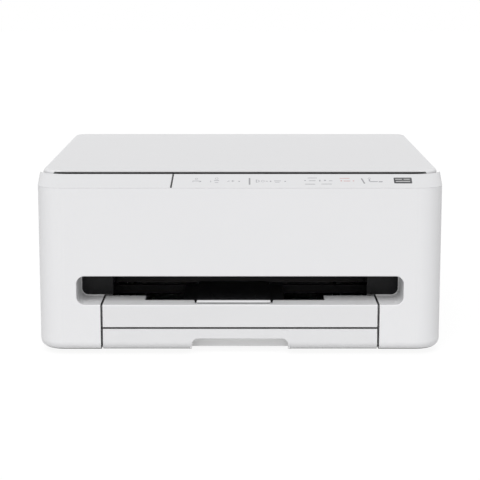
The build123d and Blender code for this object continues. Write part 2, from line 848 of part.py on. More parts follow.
# middle along Y and Z, size along Y and Z, and height of each part on the board
board_parts = (
    (-20, 60, 22, 22, 1.5),
    (12, 62, 14, 10, 1.2),
    (-46, 90, 10, 30, 6.0),
    (10, 100, 40, 7, 5.0),
    (-10, 28, 50, 7, 5.0),
    (32, 46, 9, 9, 7.0),
)
with BuildPart() as logic_board:
    block((board_x, board_x + board_thick), board_y, board_z)
    for y in (board_y[0] + standoff_inset, board_y[1] - standoff_inset):
        for z in (board_z[0] + standoff_inset, board_z[1] - standoff_inset):
            bar_x((plate_x + sheet, board_x), y, z, standoff)
    for y, z, width, height, thick in board_parts:
        block(
            (board_x + board_thick, board_x + board_thick + thick),
            (y - width / 2, y + width / 2),
            (z - height / 2, z + height / 2),
        )
logic_board.part.label = "logic_board"
export_step(logic_board.part, "parts/logic_board.step")

# Power supply and the figure-eight inlet in the back wall
inlet_front = rear_y - 29
supply_front = 62.0
supply_top = 42.0
socket_inset = 0.5
with BuildPart() as power_supply:
    block(
        (-plate_x + sheet, -channel_half - 2 * thin_wall),
        (supply_front, inlet_front),
        (floor_top, supply_top),
    )
power_supply.part.label = "power_supply"
export_step(power_supply.part, "parts/power_supply.step")

inlet_middle = ((inlet_x[0] + inlet_x[1]) / 2, (inlet_z[0] + inlet_z[1]) / 2)
pin_pitch = 8.6
pin_radius = 1.2
pin_length = 11.0
recess_height = 8.0
recess_depth = 14.0
inlet_face = rear_y - socket_inset
with BuildPart() as ac_inlet:
    block(inlet_x, (inlet_front, inlet_face), inlet_z)
    with BuildSketch(Plane.XZ.offset(-inlet_face)):
        with Locations(inlet_middle):
            SlotCenterToCenter(pin_pitch, recess_height)
    extrude(amount=recess_depth, mode=Mode.SUBTRACT)
    with BuildSketch(Plane.XZ.offset(-inlet_face + recess_depth)):
        with Locations(inlet_middle):
            with GridLocations(pin_pitch, 1, 2, 1):
                Circle(pin_radius)
    extrude(amount=-pin_length)
ac_inlet.part.label = "ac_inlet"
export_step(ac_inlet.part, "parts/ac_inlet.step")

# Square data socket on its own small board, which stands on two posts
usb_board_front = rear_y - 57
usb_front = rear_y - 17
usb_depth = 11.0
usb_wall = 1.7
tongue_inset = 4.0
post_y = (usb_board_front + 2, usb_board_front + 6)
with BuildPart() as usb_port:
    block((usb_x[0] - 6, usb_x[1] + 6), (usb_board_front, inner_rear), (usb_z[0] - board_thick, usb_z[0]))
    for post_x in (usb_x[0] - 5, usb_x[1] + 1):
        block((post_x, post_x + 4), post_y, (floor_top, usb_z[0] - board_thick))
    block(usb_x, (usb_front, rear_y - socket_inset), usb_z)
    block(
        (usb_x[0] + usb_wall, usb_x[1] - usb_wall),
        (rear_y - usb_depth, rear_y),
        (usb_z[0] + usb_wall, usb_z[1] - usb_wall),
        Mode.SUBTRACT,
    )
    block(
        (usb_x[0] + tongue_inset, usb_x[1] - tongue_inset),
        (rear_y - usb_depth - 1, rear_y - 2),
        (usb_z[0] + tongue_inset, usb_z[1] - tongue_inset),
    )
usb_port.part.label = "usb_port"
export_step(usb_port.part, "parts/usb_port.step")

# Pick-up arm and its roller, reaching down into the cassette
arm_gap = 0.4
arm_side = 3.0
arm_boss = 5.0
arm_web = 8.0
arm_x = pickup_half + arm_gap
with BuildPart() as pickup_arm:
    for side in (-1, 1):
        inner = pickup_x + side * arm_x
        outer = inner + side * arm_side
        with BuildSketch(Plane.YZ.offset(min(inner, outer))):
            with Locations((pickup_axis_y, pickup_axis_z)):
                Circle(arm_boss)
            with Locations((pickup_y, pickup_z)):
                Circle(arm_boss)
            reach = hypot(pickup_y - pickup_axis_y, pickup_z - pickup_axis_z)
            tilt = degrees(atan2(pickup_z - pickup_axis_z, pickup_y - pickup_axis_y))
            with Locations(((pickup_axis_y + pickup_y) / 2, (pickup_axis_z + pickup_z) / 2)):
                Rectangle(reach, arm_web, rotation=tilt)
        extrude(amount=arm_side)
    bar_x((pickup_x - arm_x, pickup_x + arm_x), pickup_axis_y, pickup_axis_z, arm_boss)
    bar_x((pickup_x - arm_x, pickup_x + arm_x), pickup_y, pickup_z, pickup_axle)
    full = arm_x + arm_side
    bar_x(
        (pickup_x - full, pickup_x + full),
        pickup_axis_y,
        pickup_axis_z,
        pickup_pin + running_gap,
        Mode.SUBTRACT,
    )
pickup_arm.part.label = "pickup_arm"
export_step(pickup_arm.part, "parts/pickup_arm.step")

with BuildPart() as pickup_roller:
    roller_x = (pickup_x - pickup_half, pickup_x + pickup_half)
    bar_x(roller_x, pickup_y, pickup_z, pickup_radius)
    bar_x(roller_x, pickup_y, pickup_z, pickup_axle + running_gap, Mode.SUBTRACT)
pickup_roller.part.label = "pickup_roller"
export_step(pickup_roller.part, "parts/pickup_roller.step")

# Scanner hinge brackets on the shelf of the rear case
with BuildPart() as scanner_hinges:
    for side in (-1, 1):
        x = span(side, scanner_hinge_x - hinge_width / 2, scanner_hinge_x + hinge_width / 2)
        block(x, (scanner_rear + 1.5, scanner_axis_y + 5), (rear_top, rear_top + sheet))
        block(
            x,
            (scanner_axis_y - scanner_ear_radius, scanner_axis_y + scanner_ear_radius),
            (rear_top, scanner_axis_z),
        )
        bar_x(x, scanner_axis_y, scanner_axis_z, scanner_ear_radius)
        bar_x(x, scanner_axis_y, scanner_axis_z, scanner_pin_radius + running_gap, Mode.SUBTRACT)
scanner_hinges.part.label = "scanner_hinges"
export_step(scanner_hinges.part, "parts/scanner_hinges.step")

# Scanner tray: the floor and walls that hold the rail of the scan bar
tray_top = crease_height
tray_floor = tray_low + thin_wall
tray_corner = 20.0
small_corner = 3.0
with BuildPart() as scanner_tray:
    extrude(
        top_plan(tray_half, tray_front, tray_rear, tray_corner, small_corner, tray_low),
        amount=tray_top - tray_low,
    )
    extrude(
        top_plan(
            tray_half - thin_wall,
            tray_front + thin_wall,
            tray_rear - thin_wall,
            tray_corner - thin_wall,
            small_corner - thin_wall,
            tray_floor,
        ),
        amount=tray_top - tray_floor,
        mode=Mode.SUBTRACT,
    )
    scan_rod_y = (glass_front + glass_rear) / 2
    for side in (-1, 1):
        block(
            span(side, tray_half - 8, tray_half - thin_wall),
            (scan_rod_y - 5, scan_rod_y + 5),
            (tray_floor, scan_rod_z),
        )
    rod_x = (-tray_half + thin_wall, tray_half - thin_wall)
    bar_x(rod_x, scan_rod_y, scan_rod_z, scan_rod_radius, Mode.SUBTRACT)
scanner_tray.part.label = "scanner_tray"
export_step(scanner_tray.part, "parts/scanner_tray.step")

with BuildPart() as scan_rail:
    bar_x(rod_x, scan_rod_y, scan_rod_z, scan_rod_radius)
scan_rail.part.label = "scan_rail"
export_step(scan_rail.part, "parts/scan_rail.step")

# Scanner top: sloping front strip, bed with the glass window, rear skirt with hinge ears
slope_back = strip_back - strip_land
slope_run = slope_back - front_y
slope_rise = strip_top - crease_height
slope = Plane(
    origin=(0, front_y + slope_run / 2, crease_height + slope_rise / 2),
    x_dir=(1, 0, 0),
    z_dir=(0, -slope_rise, slope_run),
)
panel_length = hypot(slope_run, slope_rise) - 2 * panel_margin
glass_low = bed_top - glass_thick
skirt_low = rear_top + seam
with BuildPart() as scanner_top:
    loft(
        [
            top_plan(half_width, front_y, scanner_rear, front_corner, small_corner, crease_height),
            top_plan(half_width, slope_back, scanner_rear, strip_corner, small_corner, strip_top),
        ],
        ruled=True,
    )
    extrude(
        top_plan(half_width + 1, strip_back, rear_y, lid_corner + lid_gap, 1, bed_top),
        amount=lid_top - bed_top,
        mode=Mode.SUBTRACT,
    )
    block(
        (-glass_half + glass_ledge, glass_half - glass_ledge),
        (glass_front + glass_ledge, glass_rear - glass_ledge),
        (0, lid_top),
        Mode.SUBTRACT,
    )
    block((-glass_half, glass_half), (glass_front, glass_rear), (glass_low, lid_top), Mode.SUBTRACT)
    block((-half_width, half_width), (case_split + seam, scanner_rear), (skirt_low, crease_height))
    block(
        (-inner_half, inner_half),
        (case_split, scanner_rear - wall),
        (skirt_low - 1, crease_height),
        Mode.SUBTRACT,
    )
    for side in (-1, 1):
        near = scanner_hinge_x - hinge_width / 2 - joint_gap
        far = scanner_hinge_x + hinge_width / 2 + joint_gap
        for x in ((near - ear_width, near), (far, far + ear_width)):
            block(
                span(side, *x),
                (scanner_rear, scanner_axis_y),
                (scanner_axis_z - scanner_ear_radius, scanner_axis_z + scanner_ear_radius),
            )
            bar_x(span(side, *x), scanner_axis_y, scanner_axis_z, scanner_ear_radius)
        bar_x(span(side, near, far), scanner_axis_y, scanner_axis_z, scanner_pin_radius)
    extrude(panel_outline(panel_left), amount=-panel_thick, mode=Mode.SUBTRACT)
scanner_top.part.label = "scanner_top"
export_step(scanner_top.part, "parts/scanner_top.step")

with BuildPart() as operation_panel:
    extrude(panel_outline(panel_left + panel_groove), amount=-panel_thick)
operation_panel.part.label = "operation_panel"
export_step(operation_panel.part, "parts/operation_panel.step")

# Board of the touch keys, under the strip
with BuildPart() as panel_board:
    block(
        (panel_left + 5, panel_right - 5),
        (tray_front + thin_wall + 1, glass_front - 12),
        (crease_height - board_thick, crease_height),
    )
panel_board.part.label = "panel_board"
export_step(panel_board.part, "parts/panel_board.step")

with BuildPart() as scan_glass:
    block((-glass_half, glass_half), (glass_front, glass_rear), (glass_low, bed_top))
scan_glass.part.label = "scan_glass"
export_step(scan_glass.part, "parts/scan_glass.step")

# Scan bar under the glass, with its motor at the rear end, parked on the left
bar_left = -scan_travel / 2 - scan_bar_width / 2
bar_top = crease_height - joint_gap
with BuildPart() as scan_bar:
    x = (bar_left, bar_left + scan_bar_width)
    block(x, (glass_front - 2, glass_rear + 4), (scan_rod_z + 1, bar_top))
    block(x, (scan_rod_y - 10, scan_rod_y + 10), (scan_rod_z - 0.8, scan_rod_z + 1))
    block(x, (glass_rear + 4, glass_rear + 28), (tray_floor + 1, bar_top - 1))
    bar_x(x, scan_rod_y, scan_rod_z, scan_rod_radius + running_gap, Mode.SUBTRACT)
    block(
        (x[0] + 5, x[1] - 5),
        (glass_front + 2, glass_rear - 2),
        (bar_top - 1, bar_top),
        Mode.SUBTRACT,
    )
scan_bar.part.label = "scan_bar"
export_step(scan_bar.part, "parts/scan_bar.step")

# Hinge arms of the document cover, standing on the bed
with BuildPart() as cover_hinges:
    for side in (-1, 1):
        x = span(side, lid_hinge_x - hinge_width / 2, lid_hinge_x + hinge_width / 2)
        block(x, (tray_rear - 2, lid_axis_y), (bed_top, lid_axis_z + 1))
        bar_x(x, lid_axis_y, lid_axis_z, lid_ear_radius)
        bar_x(x, lid_axis_y, lid_axis_z, lid_pin_radius + running_gap, Mode.SUBTRACT)
cover_hinges.part.label = "cover_hinges"
export_step(cover_hinges.part, "parts/cover_hinges.step")

# Document cover: a shallow shell with ears and pins at the rear
skin_low = lid_top - lid_skin
groove_depth = 3.0
nose_thick = 1.3
front_wall = groove_depth + wall
with BuildPart() as document_cover:
    extrude(
        top_plan(lid_half, lid_front, lid_rear, lid_corner, rear_corner, lid_bottom),
        amount=lid_top - lid_bottom,
    )
    fillet(document_cover.faces().sort_by(Axis.Z)[-1].edges(), lid_edge)
    extrude(
        top_plan(
            lid_half - wall,
            lid_front + front_wall,
            lid_rear - wall,
            lid_corner - wall,
            rear_corner - wall,
            lid_bottom,
        ),
        amount=skin_low - lid_bottom,
        mode=Mode.SUBTRACT,
    )
    # finger groove under the front edge
    block(
        (-lid_half, lid_half),
        (lid_front - 1, lid_front + groove_depth),
        (0, lid_top - nose_thick),
        Mode.SUBTRACT,
    )
    for side in (-1, 1):
        near = lid_hinge_x - hinge_width / 2 - joint_gap
        far = lid_hinge_x + hinge_width / 2 + joint_gap
        block(span(side, near, far), (lid_axis_y, rear_y), (0, skin_low), Mode.SUBTRACT)
        for x in ((near - ear_width, near), (far, far + ear_width)):
            block(
                span(side, *x),
                (lid_axis_y - lid_ear_radius, lid_axis_y + lid_ear_radius),
                (lid_axis_z - lid_ear_radius, skin_low),
            )
        bar_x(span(side, near, far), lid_axis_y, lid_axis_z, lid_pin_radius)
document_cover.part.label = "document_cover"
export_step(document_cover.part, "parts/document_cover.step")

with BuildPart() as pressure_pad:
    extrude(
        top_plan(
            glass_half - 3,
            glass_front + 2,
            glass_rear - 2,
            small_corner,
            small_corner,
            bed_top + slide_gap,
        ),
        amount=skin_low - bed_top - slide_gap,
    )
pressure_pad.part.label = "pressure_pad"
export_step(pressure_pad.part, "parts/pressure_pad.step")

# Cassette: the lower band with its finger pocket, and the tray behind it
band_low = base_bottom + slide_gap
band_high = band_split - band_gap / 2
band_back = front_y + wall
with BuildPart() as cassette_front:
    with BuildSketch(Plane.YZ.offset(-front_half)):
        with BuildLine():
            foot = band_low
            knee = front_y + bottom_radius
            Polyline(
                (front_y, foot + bottom_radius),
                (front_y, band_high),
                (band_back, band_high),
                (band_back, foot + bottom_radius),
            )
            RadiusArc((band_back, foot + bottom_radius), (knee, foot + wall), -(bottom_radius - wall))
            Polyline((knee, foot + wall), (knee + wall, foot + wall), (knee + wall, foot), (knee, foot))
            RadiusArc((knee, foot), (front_y, foot + bottom_radius), bottom_radius)
        make_face()
    extrude(amount=2 * front_half)
    # finger pocket: a hole in the band with a roof, cheeks and a back
    with BuildSketch(Plane.XZ.offset(-front_y)):
        with Locations((0, 0)):
            RectangleRounded(2 * (grip_half + thin_wall), 2 * (grip_top + thin_wall), grip_corner + thin_wall)
    extrude(amount=-grip_depth - thin_wall)
    with BuildSketch(Plane.XZ.offset(-front_y)):
        with Locations((0, 0)):
            RectangleRounded(2 * grip_half, 2 * grip_top, grip_corner)
    extrude(amount=-grip_depth, mode=Mode.SUBTRACT)
    block((-half_width, half_width), (front_y - 1, 0), (-body_depth, foot), Mode.SUBTRACT)
    add(body_block.part, mode=Mode.INTERSECT)
cassette_front.part.label = "cassette_front"
export_step(cassette_front.part, "parts/cassette_front.step")

cassette_low = floor_top + slide_gap
cassette_floor = cassette_low + thin_wall
paper_front = cassette_rear - wall - paper_length
pocket_room = grip_half + thin_wall
with BuildPart() as cassette_tray:
    block(
        (-cassette_half, cassette_half),
        (paper_front - wall, cassette_rear),
        (cassette_low, cassette_top - 0.5),
    )
    block(
        (-cassette_half + wall, cassette_half - wall),
        (paper_front, cassette_rear - wall),
        (cassette_floor, cassette_top),
        Mode.SUBTRACT,
    )
    block(
        (-cassette_half + wall, cassette_half - wall),
        (cassette_rear - wall - 1, cassette_rear + 1),
        (cassette_rear_lip, cassette_top),
        Mode.SUBTRACT,
    )
    for side in (-1, 1):
        # arms forward to the band, on both sides of the finger pocket
        block(
            span(side, pocket_room + 1, cassette_half),
            (band_back, paper_front - wall),
            (foot + bottom_radius + wall, cassette_top - 0.5),
        )
cassette_tray.part.label = "cassette_tray"
export_step(cassette_tray.part, "parts/cassette_tray.step")

# Paper guides in the cassette: two that close on the sides and one for the length
guide_low = cassette_floor + slide_gap
guide_y = (-20.0, 50.0)
guide_foot = 18.0
for name, side in (("left", -1), ("right", 1)):
    face = paper_centre + side * (paper_half + joint_gap)
    with BuildPart() as side_guide:
        wall_x = sorted((face, face + side * guide_thick))
        foot_x_range = sorted((face - side * guide_foot, face + side * guide_thick))
        block(wall_x, guide_y, (guide_low, guide_height))
        block(foot_x_range, (guide_y[0] + 15, guide_y[1] - 15), (guide_low, guide_low + 1.2))
    side_guide.part.label = f"paper_guide_{name}"
    export_step(side_guide.part, f"parts/paper_guide_{name}.step")

with BuildPart() as length_guide:
    block(
        (paper_centre - 20, paper_centre + 20),
        (paper_front + joint_gap, paper_front + joint_gap + guide_thick),
        (guide_low, guide_height),
    )
    block(
        (paper_centre - 12, paper_centre + 12),
        (paper_front + joint_gap, paper_front + 25),
        (guide_low, guide_low + 1.2),
    )
length_guide.part.label = "paper_guide_length"
export_step(length_guide.part, "parts/paper_guide_length.step")

# Output tray: the upper band, and the ledge in the slot with the shelf of the extension behind it
ledge_low = slot_low - wall
shelf_x = (pull_left - 12, pull_right + 12)
notch_tip = 0.3
with BuildPart() as output_tray:
    block((-front_half, front_half), (front_y, band_back), (band_split + band_gap / 2, slot_low))
    block((-front_half, front_half), (front_y, recess_back), (ledge_low, slot_low))
    fillet(output_tray.faces().sort_by(Axis.Z)[-1].edges().sort_by(Axis.Y)[0], band_rim)
    block((cut_left, cut_right), (cut_front, recess_back + 1), (ledge_low - 1, slot_low + 1), Mode.SUBTRACT)
    block(shelf_x, (band_back, output_rear), (ledge_low, slot_low))
    # a notch in the ledge at each end of the extension's lip
    with BuildSketch(Plane.XY.offset(ledge_low)):
        for x in (pull_left, pull_right):
            Polygon(
                (x - pull_notch / 2, cut_front + 1),
                (x - notch_tip / 2, pull_front),
                (x + notch_tip / 2, pull_front),
                (x + pull_notch / 2, cut_front + 1),
                align=None,
            )
    extrude(amount=slot_low - ledge_low, mode=Mode.SUBTRACT)
    block(
        (-tray_side_half, tray_side_half),
        (output_rear - 4, output_rear),
        (rail_top + 3, slot_low),
    )
    for side in (-1, 1):
        block(
            span(side, tray_side_half - wall, tray_side_half),
            (band_back, output_rear),
            (rail_low - 4, ledge_low),
        )
        block(
            span(side, tray_side_half, channel_half - drawer_gap),
            (lip_front, output_rear),
            (rail_top + slide_gap, rail_top + slide_gap + thin_wall),
        )
output_tray.part.label = "output_tray"
export_step(output_tray.part, "parts/output_tray.step")

# Extension with its pull lip, and the stopper that flips up at its end
extension_low = slot_low + slide_gap
extension_top = extension_low + pull_thick
stopper_x = (paper_centre - stopper_half, paper_centre + stopper_half)
stopper_z = extension_top - stopper_thick / 2
stopper_reach = 2.5
with BuildPart() as tray_extension:
    block(
        (pull_left + pull_notch / 2, pull_right - pull_notch / 2),
        (pull_front, output_rear - 2),
        (extension_low, extension_top),
    )
    block(
        (stopper_x[0] - joint_gap, stopper_x[1] + joint_gap),
        (stopper_front - stopper_thick, stopper_front + stopper_length + joint_gap),
        (extension_top - stopper_thick - slide_gap, extension_top),
        Mode.SUBTRACT,
    )
    bar_x(
        (stopper_x[0] - stopper_reach - joint_gap, stopper_x[1] + stopper_reach + joint_gap),
        stopper_front,
        stopper_z,
        stopper_pin_radius + running_gap,
        Mode.SUBTRACT,
    )
tray_extension.part.label = "tray_extension"
export_step(tray_extension.part, "parts/tray_extension.step")

with BuildPart() as output_stopper:
    block(
        stopper_x,
        (stopper_front, stopper_front + stopper_length),
        (extension_top - stopper_thick, extension_top),
    )
    bar_x(stopper_x, stopper_front, stopper_z, stopper_thick / 2)
    bar_x(
        (stopper_x[0] - stopper_reach, stopper_x[1] + stopper_reach),
        stopper_front,
        stopper_z,
        stopper_pin_radius,
    )
output_stopper.part.label = "output_stopper"
export_step(output_stopper.part, "parts/output_stopper.step")

# Rear cover with the ribs that guide the paper round the drum
rib_half = cover_half - 6
rib_pitch_x = 2 * rib_half / (cover_rib_count - 1)
guide_radius = drum_radius + path_gap
with BuildPart() as rear_cover:
    block((-cover_half, cover_half), (inner_rear, rear_y), (cover_low, cover_high))
    for i in range(cover_rib_count):
        x = -rib_half + rib_pitch_x * i
        with BuildSketch(Plane.YZ.offset(x - thin_wall / 2)):
            Polygon(
                (inner_rear, cover_low + 10),
                (drum_y + guide_radius, cover_low + 10),
                (drum_y + guide_radius * 0.6, drum_z + guide_radius * 0.8),
                (drum_y + guide_radius, drum_z + 2 * guide_radius),
                (inner_rear, cover_high - 10),
                align=None,
            )
            with Locations((drum_y, drum_z)):
                Circle(guide_radius, mode=Mode.SUBTRACT)
        extrude(amount=thin_wall)
    for side in (-1, 1):
        bar_x(span(side, cover_half, cover_half + cover_ear), cover_axis_y, cover_axis_z, cover_pin_radius)
rear_cover.part.label = "rear_cover"
export_step(rear_cover.part, "parts/rear_cover.step")
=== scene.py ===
import json
from math import atan2, cos, radians, sin

import bmesh
import bpy
from mathutils import Matrix, Vector


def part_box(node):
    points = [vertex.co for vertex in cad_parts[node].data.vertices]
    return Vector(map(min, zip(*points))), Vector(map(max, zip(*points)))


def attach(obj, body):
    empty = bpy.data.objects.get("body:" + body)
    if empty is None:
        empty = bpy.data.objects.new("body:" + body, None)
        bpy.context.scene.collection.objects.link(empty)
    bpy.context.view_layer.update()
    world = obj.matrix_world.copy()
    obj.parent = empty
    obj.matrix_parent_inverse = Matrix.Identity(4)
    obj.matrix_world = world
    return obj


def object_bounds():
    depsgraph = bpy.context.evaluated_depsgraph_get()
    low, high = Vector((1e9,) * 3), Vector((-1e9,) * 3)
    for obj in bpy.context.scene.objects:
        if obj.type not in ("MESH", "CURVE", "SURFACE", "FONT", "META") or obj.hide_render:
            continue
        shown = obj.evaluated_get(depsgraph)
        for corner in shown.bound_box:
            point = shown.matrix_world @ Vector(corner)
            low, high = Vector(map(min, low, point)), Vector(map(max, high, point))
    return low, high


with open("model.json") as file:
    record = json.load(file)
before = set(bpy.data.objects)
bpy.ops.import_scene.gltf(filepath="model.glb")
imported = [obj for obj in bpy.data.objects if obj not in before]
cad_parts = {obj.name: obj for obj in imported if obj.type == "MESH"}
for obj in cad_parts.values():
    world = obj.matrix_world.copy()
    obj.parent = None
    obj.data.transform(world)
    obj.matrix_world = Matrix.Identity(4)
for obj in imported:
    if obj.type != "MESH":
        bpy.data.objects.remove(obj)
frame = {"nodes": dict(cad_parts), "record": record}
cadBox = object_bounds()
nodes = frame["nodes"]
record = frame["record"]
mm = 0.001
print("frame loaded:", len(nodes), "nodes")

# the camera as fitted to the photo, in metres
view = {
    "focalPixels": 1549.0,    # from the slant of the lid's side rims
    "imagePixels": 480.0,
    "sensor": 36.0,
    "pitch": 10.03,           # degrees down
    "distance": 1.405,        # from the front wall
    "height": 0.3578,
    "clip": (0.05, 50.0),
}
studio = {
    "white": (1.0, 1.0, 1.0),
    "worldStrength": 0.46,    # soft light from all round
    "shownWhite": 1.0,        # the world as the camera and reflections see it
    "sunStrength": 2.3,
    "sunHeight": 45.5,        # degrees above the floor
    "sunSide": 9.0,           # degrees to the left of the front
    "sunSpread": 42.0,
    "floorSize": 14.0,
    "floorColour": (0.74, 0.74, 0.74),
    "floorDrift": 0.01,
    "floorCloud": 3.0,
    "floorRoughness": 0.85,
    "floorShown": 1.06,
    "floorLift": 0.86,        # how far the camera sees the floor lifted to white
}


def addCamera():
    data = bpy.data.cameras.new("camera")
    camera = bpy.data.objects.new("camera", data)
    bpy.context.scene.collection.objects.link(camera)
    data.sensor_width = view["sensor"]
    data.lens = view["focalPixels"] / view["imagePixels"] * view["sensor"]
    data.clip_start, data.clip_end = view["clip"]
    camera.location = (0.0, cadBox[0].y - view["distance"], view["height"])
    camera.rotation_euler = (radians(90.0 - view["pitch"]), 0.0, 0.0)
    bpy.context.scene.camera = camera


def addSun():
    data = bpy.data.lights.new("softSun", "SUN")
    data.energy = studio["sunStrength"]
    data.angle = radians(studio["sunSpread"])
    lamp = bpy.data.objects.new("softSun", data)
    bpy.context.scene.collection.objects.link(lamp)
    up, side = radians(studio["sunHeight"]), radians(studio["sunSide"])
    toward = Vector((cos(up) * sin(side), cos(up) * cos(side), -sin(up)))
    lamp.rotation_euler = toward.to_track_quat("-Z", "Y").to_euler()


class Val:
    # a socket that takes part in sums, so that an expression builds its Math nodes
    def __init__(self, owner, socket):
        self.owner = owner
        self.socket = socket

    def join(self, kind, first, second, clamp=False):
        return self.owner.node("ShaderNodeMath", {"operation": kind, "use_clamp": clamp},
                               {0: first, 1: second})

    def __add__(self, other):
        return self.join("ADD", self, other)

    def __radd__(self, other):
        return self.join("ADD", other, self)

    def __sub__(self, other):
        return self.join("SUBTRACT", self, other)

    def __rsub__(self, other):
        return self.join("SUBTRACT", other, self)

    def __mul__(self, other):
        return self.join("MULTIPLY", self, other)

    def __rmul__(self, other):
        return self.join("MULTIPLY", other, self)

    def __truediv__(self, other):
        return self.join("DIVIDE", self, other)

    def __gt__(self, other):
        return self.join("GREATER_THAN", self, other)

    def __lt__(self, other):
        return self.join("LESS_THAN", self, other)

    def __pow__(self, other):
        return self.join("POWER", self, other)

    def __abs__(self):
        return self.join("ABSOLUTE", self, 0.0)

    def clamped(self):
        return self.join("MULTIPLY", self, 1.0, True)

    def centred(self):
        # a noise runs from 0 to 1
        return self - 0.5


class NodeSet:
    # the nodes of a material or of the world
    def __init__(self, tree):
        self.tree = tree
        self.tree.nodes.clear()

    def node(self, kind, settings=None, sockets=None, out=0):
        made = self.tree.nodes.new(kind)
        for key, value in (settings or {}).items():
            setattr(made, key, value)
        for key, value in (sockets or {}).items():
            self.feed(made.inputs[key], value)
        return Val(self, made.outputs[out]) if made.outputs else made

    def feed(self, socket, value):
        if isinstance(value, Val):
            self.tree.links.new(value.socket, socket)
        elif socket.type == "RGBA" and len(value) == 3:
            socket.default_value = (*value, 1.0)
        else:
            socket.default_value = value

    def shownRays(self):
        # 1 to the camera, in reflections and through glass
        seen = self.node("ShaderNodeLightPath", out="Is Camera Ray")
        for ray in ("Is Glossy Ray", "Is Transmission Ray"):
            seen = seen + self.node("ShaderNodeLightPath", out=ray)
        return seen.clamped()


class Finish(NodeSet):
    # one material and the nodes that it is built from
    def __init__(self, name):
        self.material = bpy.data.materials.new(name)
        self.material.use_nodes = True
        super().__init__(self.material.node_tree)
        self.surface = self.node("ShaderNodeBsdfPrincipled")
        self.shader = self.surface.socket.node
        self.output = self.node("ShaderNodeOutputMaterial", {}, {"Surface": self.surface})

    def place(self, scale=(1.0, 1.0, 1.0)):
        coords = self.node("ShaderNodeTexCoord", out="Object")
        return self.node("ShaderNodeMapping", {}, {"Vector": coords, "Scale": scale})

    def noise(self, place, scale, detail=2.0, rough=0.5):
        return self.node("ShaderNodeTexNoise", {}, {"Vector": place, "Scale": scale,
                                                    "Detail": detail, "Roughness": rough})

    def cells(self, place, scale):
        return self.node("ShaderNodeTexVoronoi", {"feature": "F1"},
                         {"Vector": place, "Scale": scale})

    def waves(self, place, scale, direction, distortion=0.0):
        return self.node("ShaderNodeTexWave", {"bands_direction": direction},
                         {"Vector": place, "Scale": scale, "Distortion": distortion}, out="Fac")

    def mixColour(self, share, first, second):
        return self.node("ShaderNodeMix", {"data_type": "RGBA"},
                         {0: share, 6: first, 7: second}, out=2)

    def spots(self):
        # where the surface is, one value for each axis
        coords = self.node("ShaderNodeTexCoord", out="Object")
        return [self.node("ShaderNodeSeparateXYZ", {}, {0: coords}, out=letter)
                for letter in "XYZ"]

    def bump(self, height, depth):
        return self.node("ShaderNodeBump", {},
                         {"Height": height, "Distance": depth, "Strength": 1.0})

    def set(self, **sockets):
        for key, value in sockets.items():
            self.feed(self.shader.inputs[key.replace("_", " ")], value)
        return self

    def wear(self, place, colour, spread, scale=9.0):
        # slow change of shade over the surface, lighter and darker by spread
        drift = self.noise(place, scale, detail=3.0)
        return self.mixColour(drift, shade(colour, 1.0 - spread), shade(colour, 1.0 + spread))


def shade(colour, share):
    return tuple(min(1.0, c * share) for c in colour)


def between(value, low, high):
    return (value > low) * (value < high)


# white and black mouldings share a spark-eroded texture: fine pits over a slower unevenness
moulding = {
    "scale": 1900.0,
    "detail": 3.0,
    "rough": 0.6,
    "depth": 0.00002,
    "pitShine": 0.06,         # how far the pits change the roughness
    "sheenScale": 55.0,
    "sheenShine": 0.1,
    "darkShine": 0.1,
    "spread": 0.012,
    "refraction": 1.48,
}


def mouldedPlastic(name, colour, roughness=0.42, scale=moulding["scale"],
                   depth=moulding["depth"], spread=moulding["spread"]):
    mat = Finish(name)
    place = mat.place()
    pits = mat.noise(place, scale, moulding["detail"], moulding["rough"])
    sheen = mat.noise(place, moulding["sheenScale"])
    mat.set(Base_Color=mat.wear(place, colour, spread), IOR=moulding["refraction"],
            Roughness=roughness + moulding["sheenShine"] * sheen.centred()
            + moulding["pitShine"] * pits.centred(),
            Normal=mat.bump(pits, depth))
    return mat.material


def paintedShadeLightAndTone(name, colour, darkColour, darkMask, roughness=0.46, thirdColour=None,
            thirdMask=None, refraction=1.4):
    # white plastic with a second and a third colour where masks of the surface's place say so;
    # mostly painted shade and painted light, on the slot liner the white of its ends
    mat = Finish(name)
    place = mat.place()
    spots = mat.spots()
    pits = mat.noise(place, moulding["scale"], moulding["detail"], moulding["rough"])
    dark = darkMask(*spots).clamped()
    white = mat.wear(place, colour, moulding["spread"])
    if thirdMask is not None:
        white = mat.mixColour(thirdMask(*spots).clamped(), white, thirdColour)
    mat.set(Base_Color=mat.mixColour(dark, white, darkColour), IOR=refraction,
            Roughness=roughness + moulding["pitShine"] * pits.centred()
            - moulding["darkShine"] * dark,
            Normal=mat.bump(pits, moulding["depth"]))
    return mat.material


gloss = {
    "rippleScale": 120.0,
    "rippleDepth": 0.000006,
    "rippleShine": 0.12,
    "dustScale": 900.0,
    "dustSharp": 6.0,
    "dustShine": 0.5,
    "spread": 0.08,
    "refraction": 1.3,
}


def glossPlastic(name, colour, roughness=0.16):
    mat = Finish(name)
    place = mat.place()
    ripple = mat.noise(place, gloss["rippleScale"])
    dust = mat.noise(place, gloss["dustScale"]) ** gloss["dustSharp"]
    mat.set(Base_Color=mat.wear(place, colour, gloss["spread"]), IOR=gloss["refraction"],
            Roughness=roughness + gloss["rippleShine"] * ripple * ripple
            + gloss["dustShine"] * dust,
            Normal=mat.bump(ripple, gloss["rippleDepth"]))
    return mat.material


steel = {
    "along": (0.04, 1.0, 1.0),    # the streaks run along X
    "streakScale": 1400.0,
    "streakRough": 0.6,
    "streakShine": 0.14,
    "cloudScale": 30.0,
    "cloudShine": 0.1,
    "detail": 3.0,
    "dull": 0.86,
    "depth": 0.000008,
}


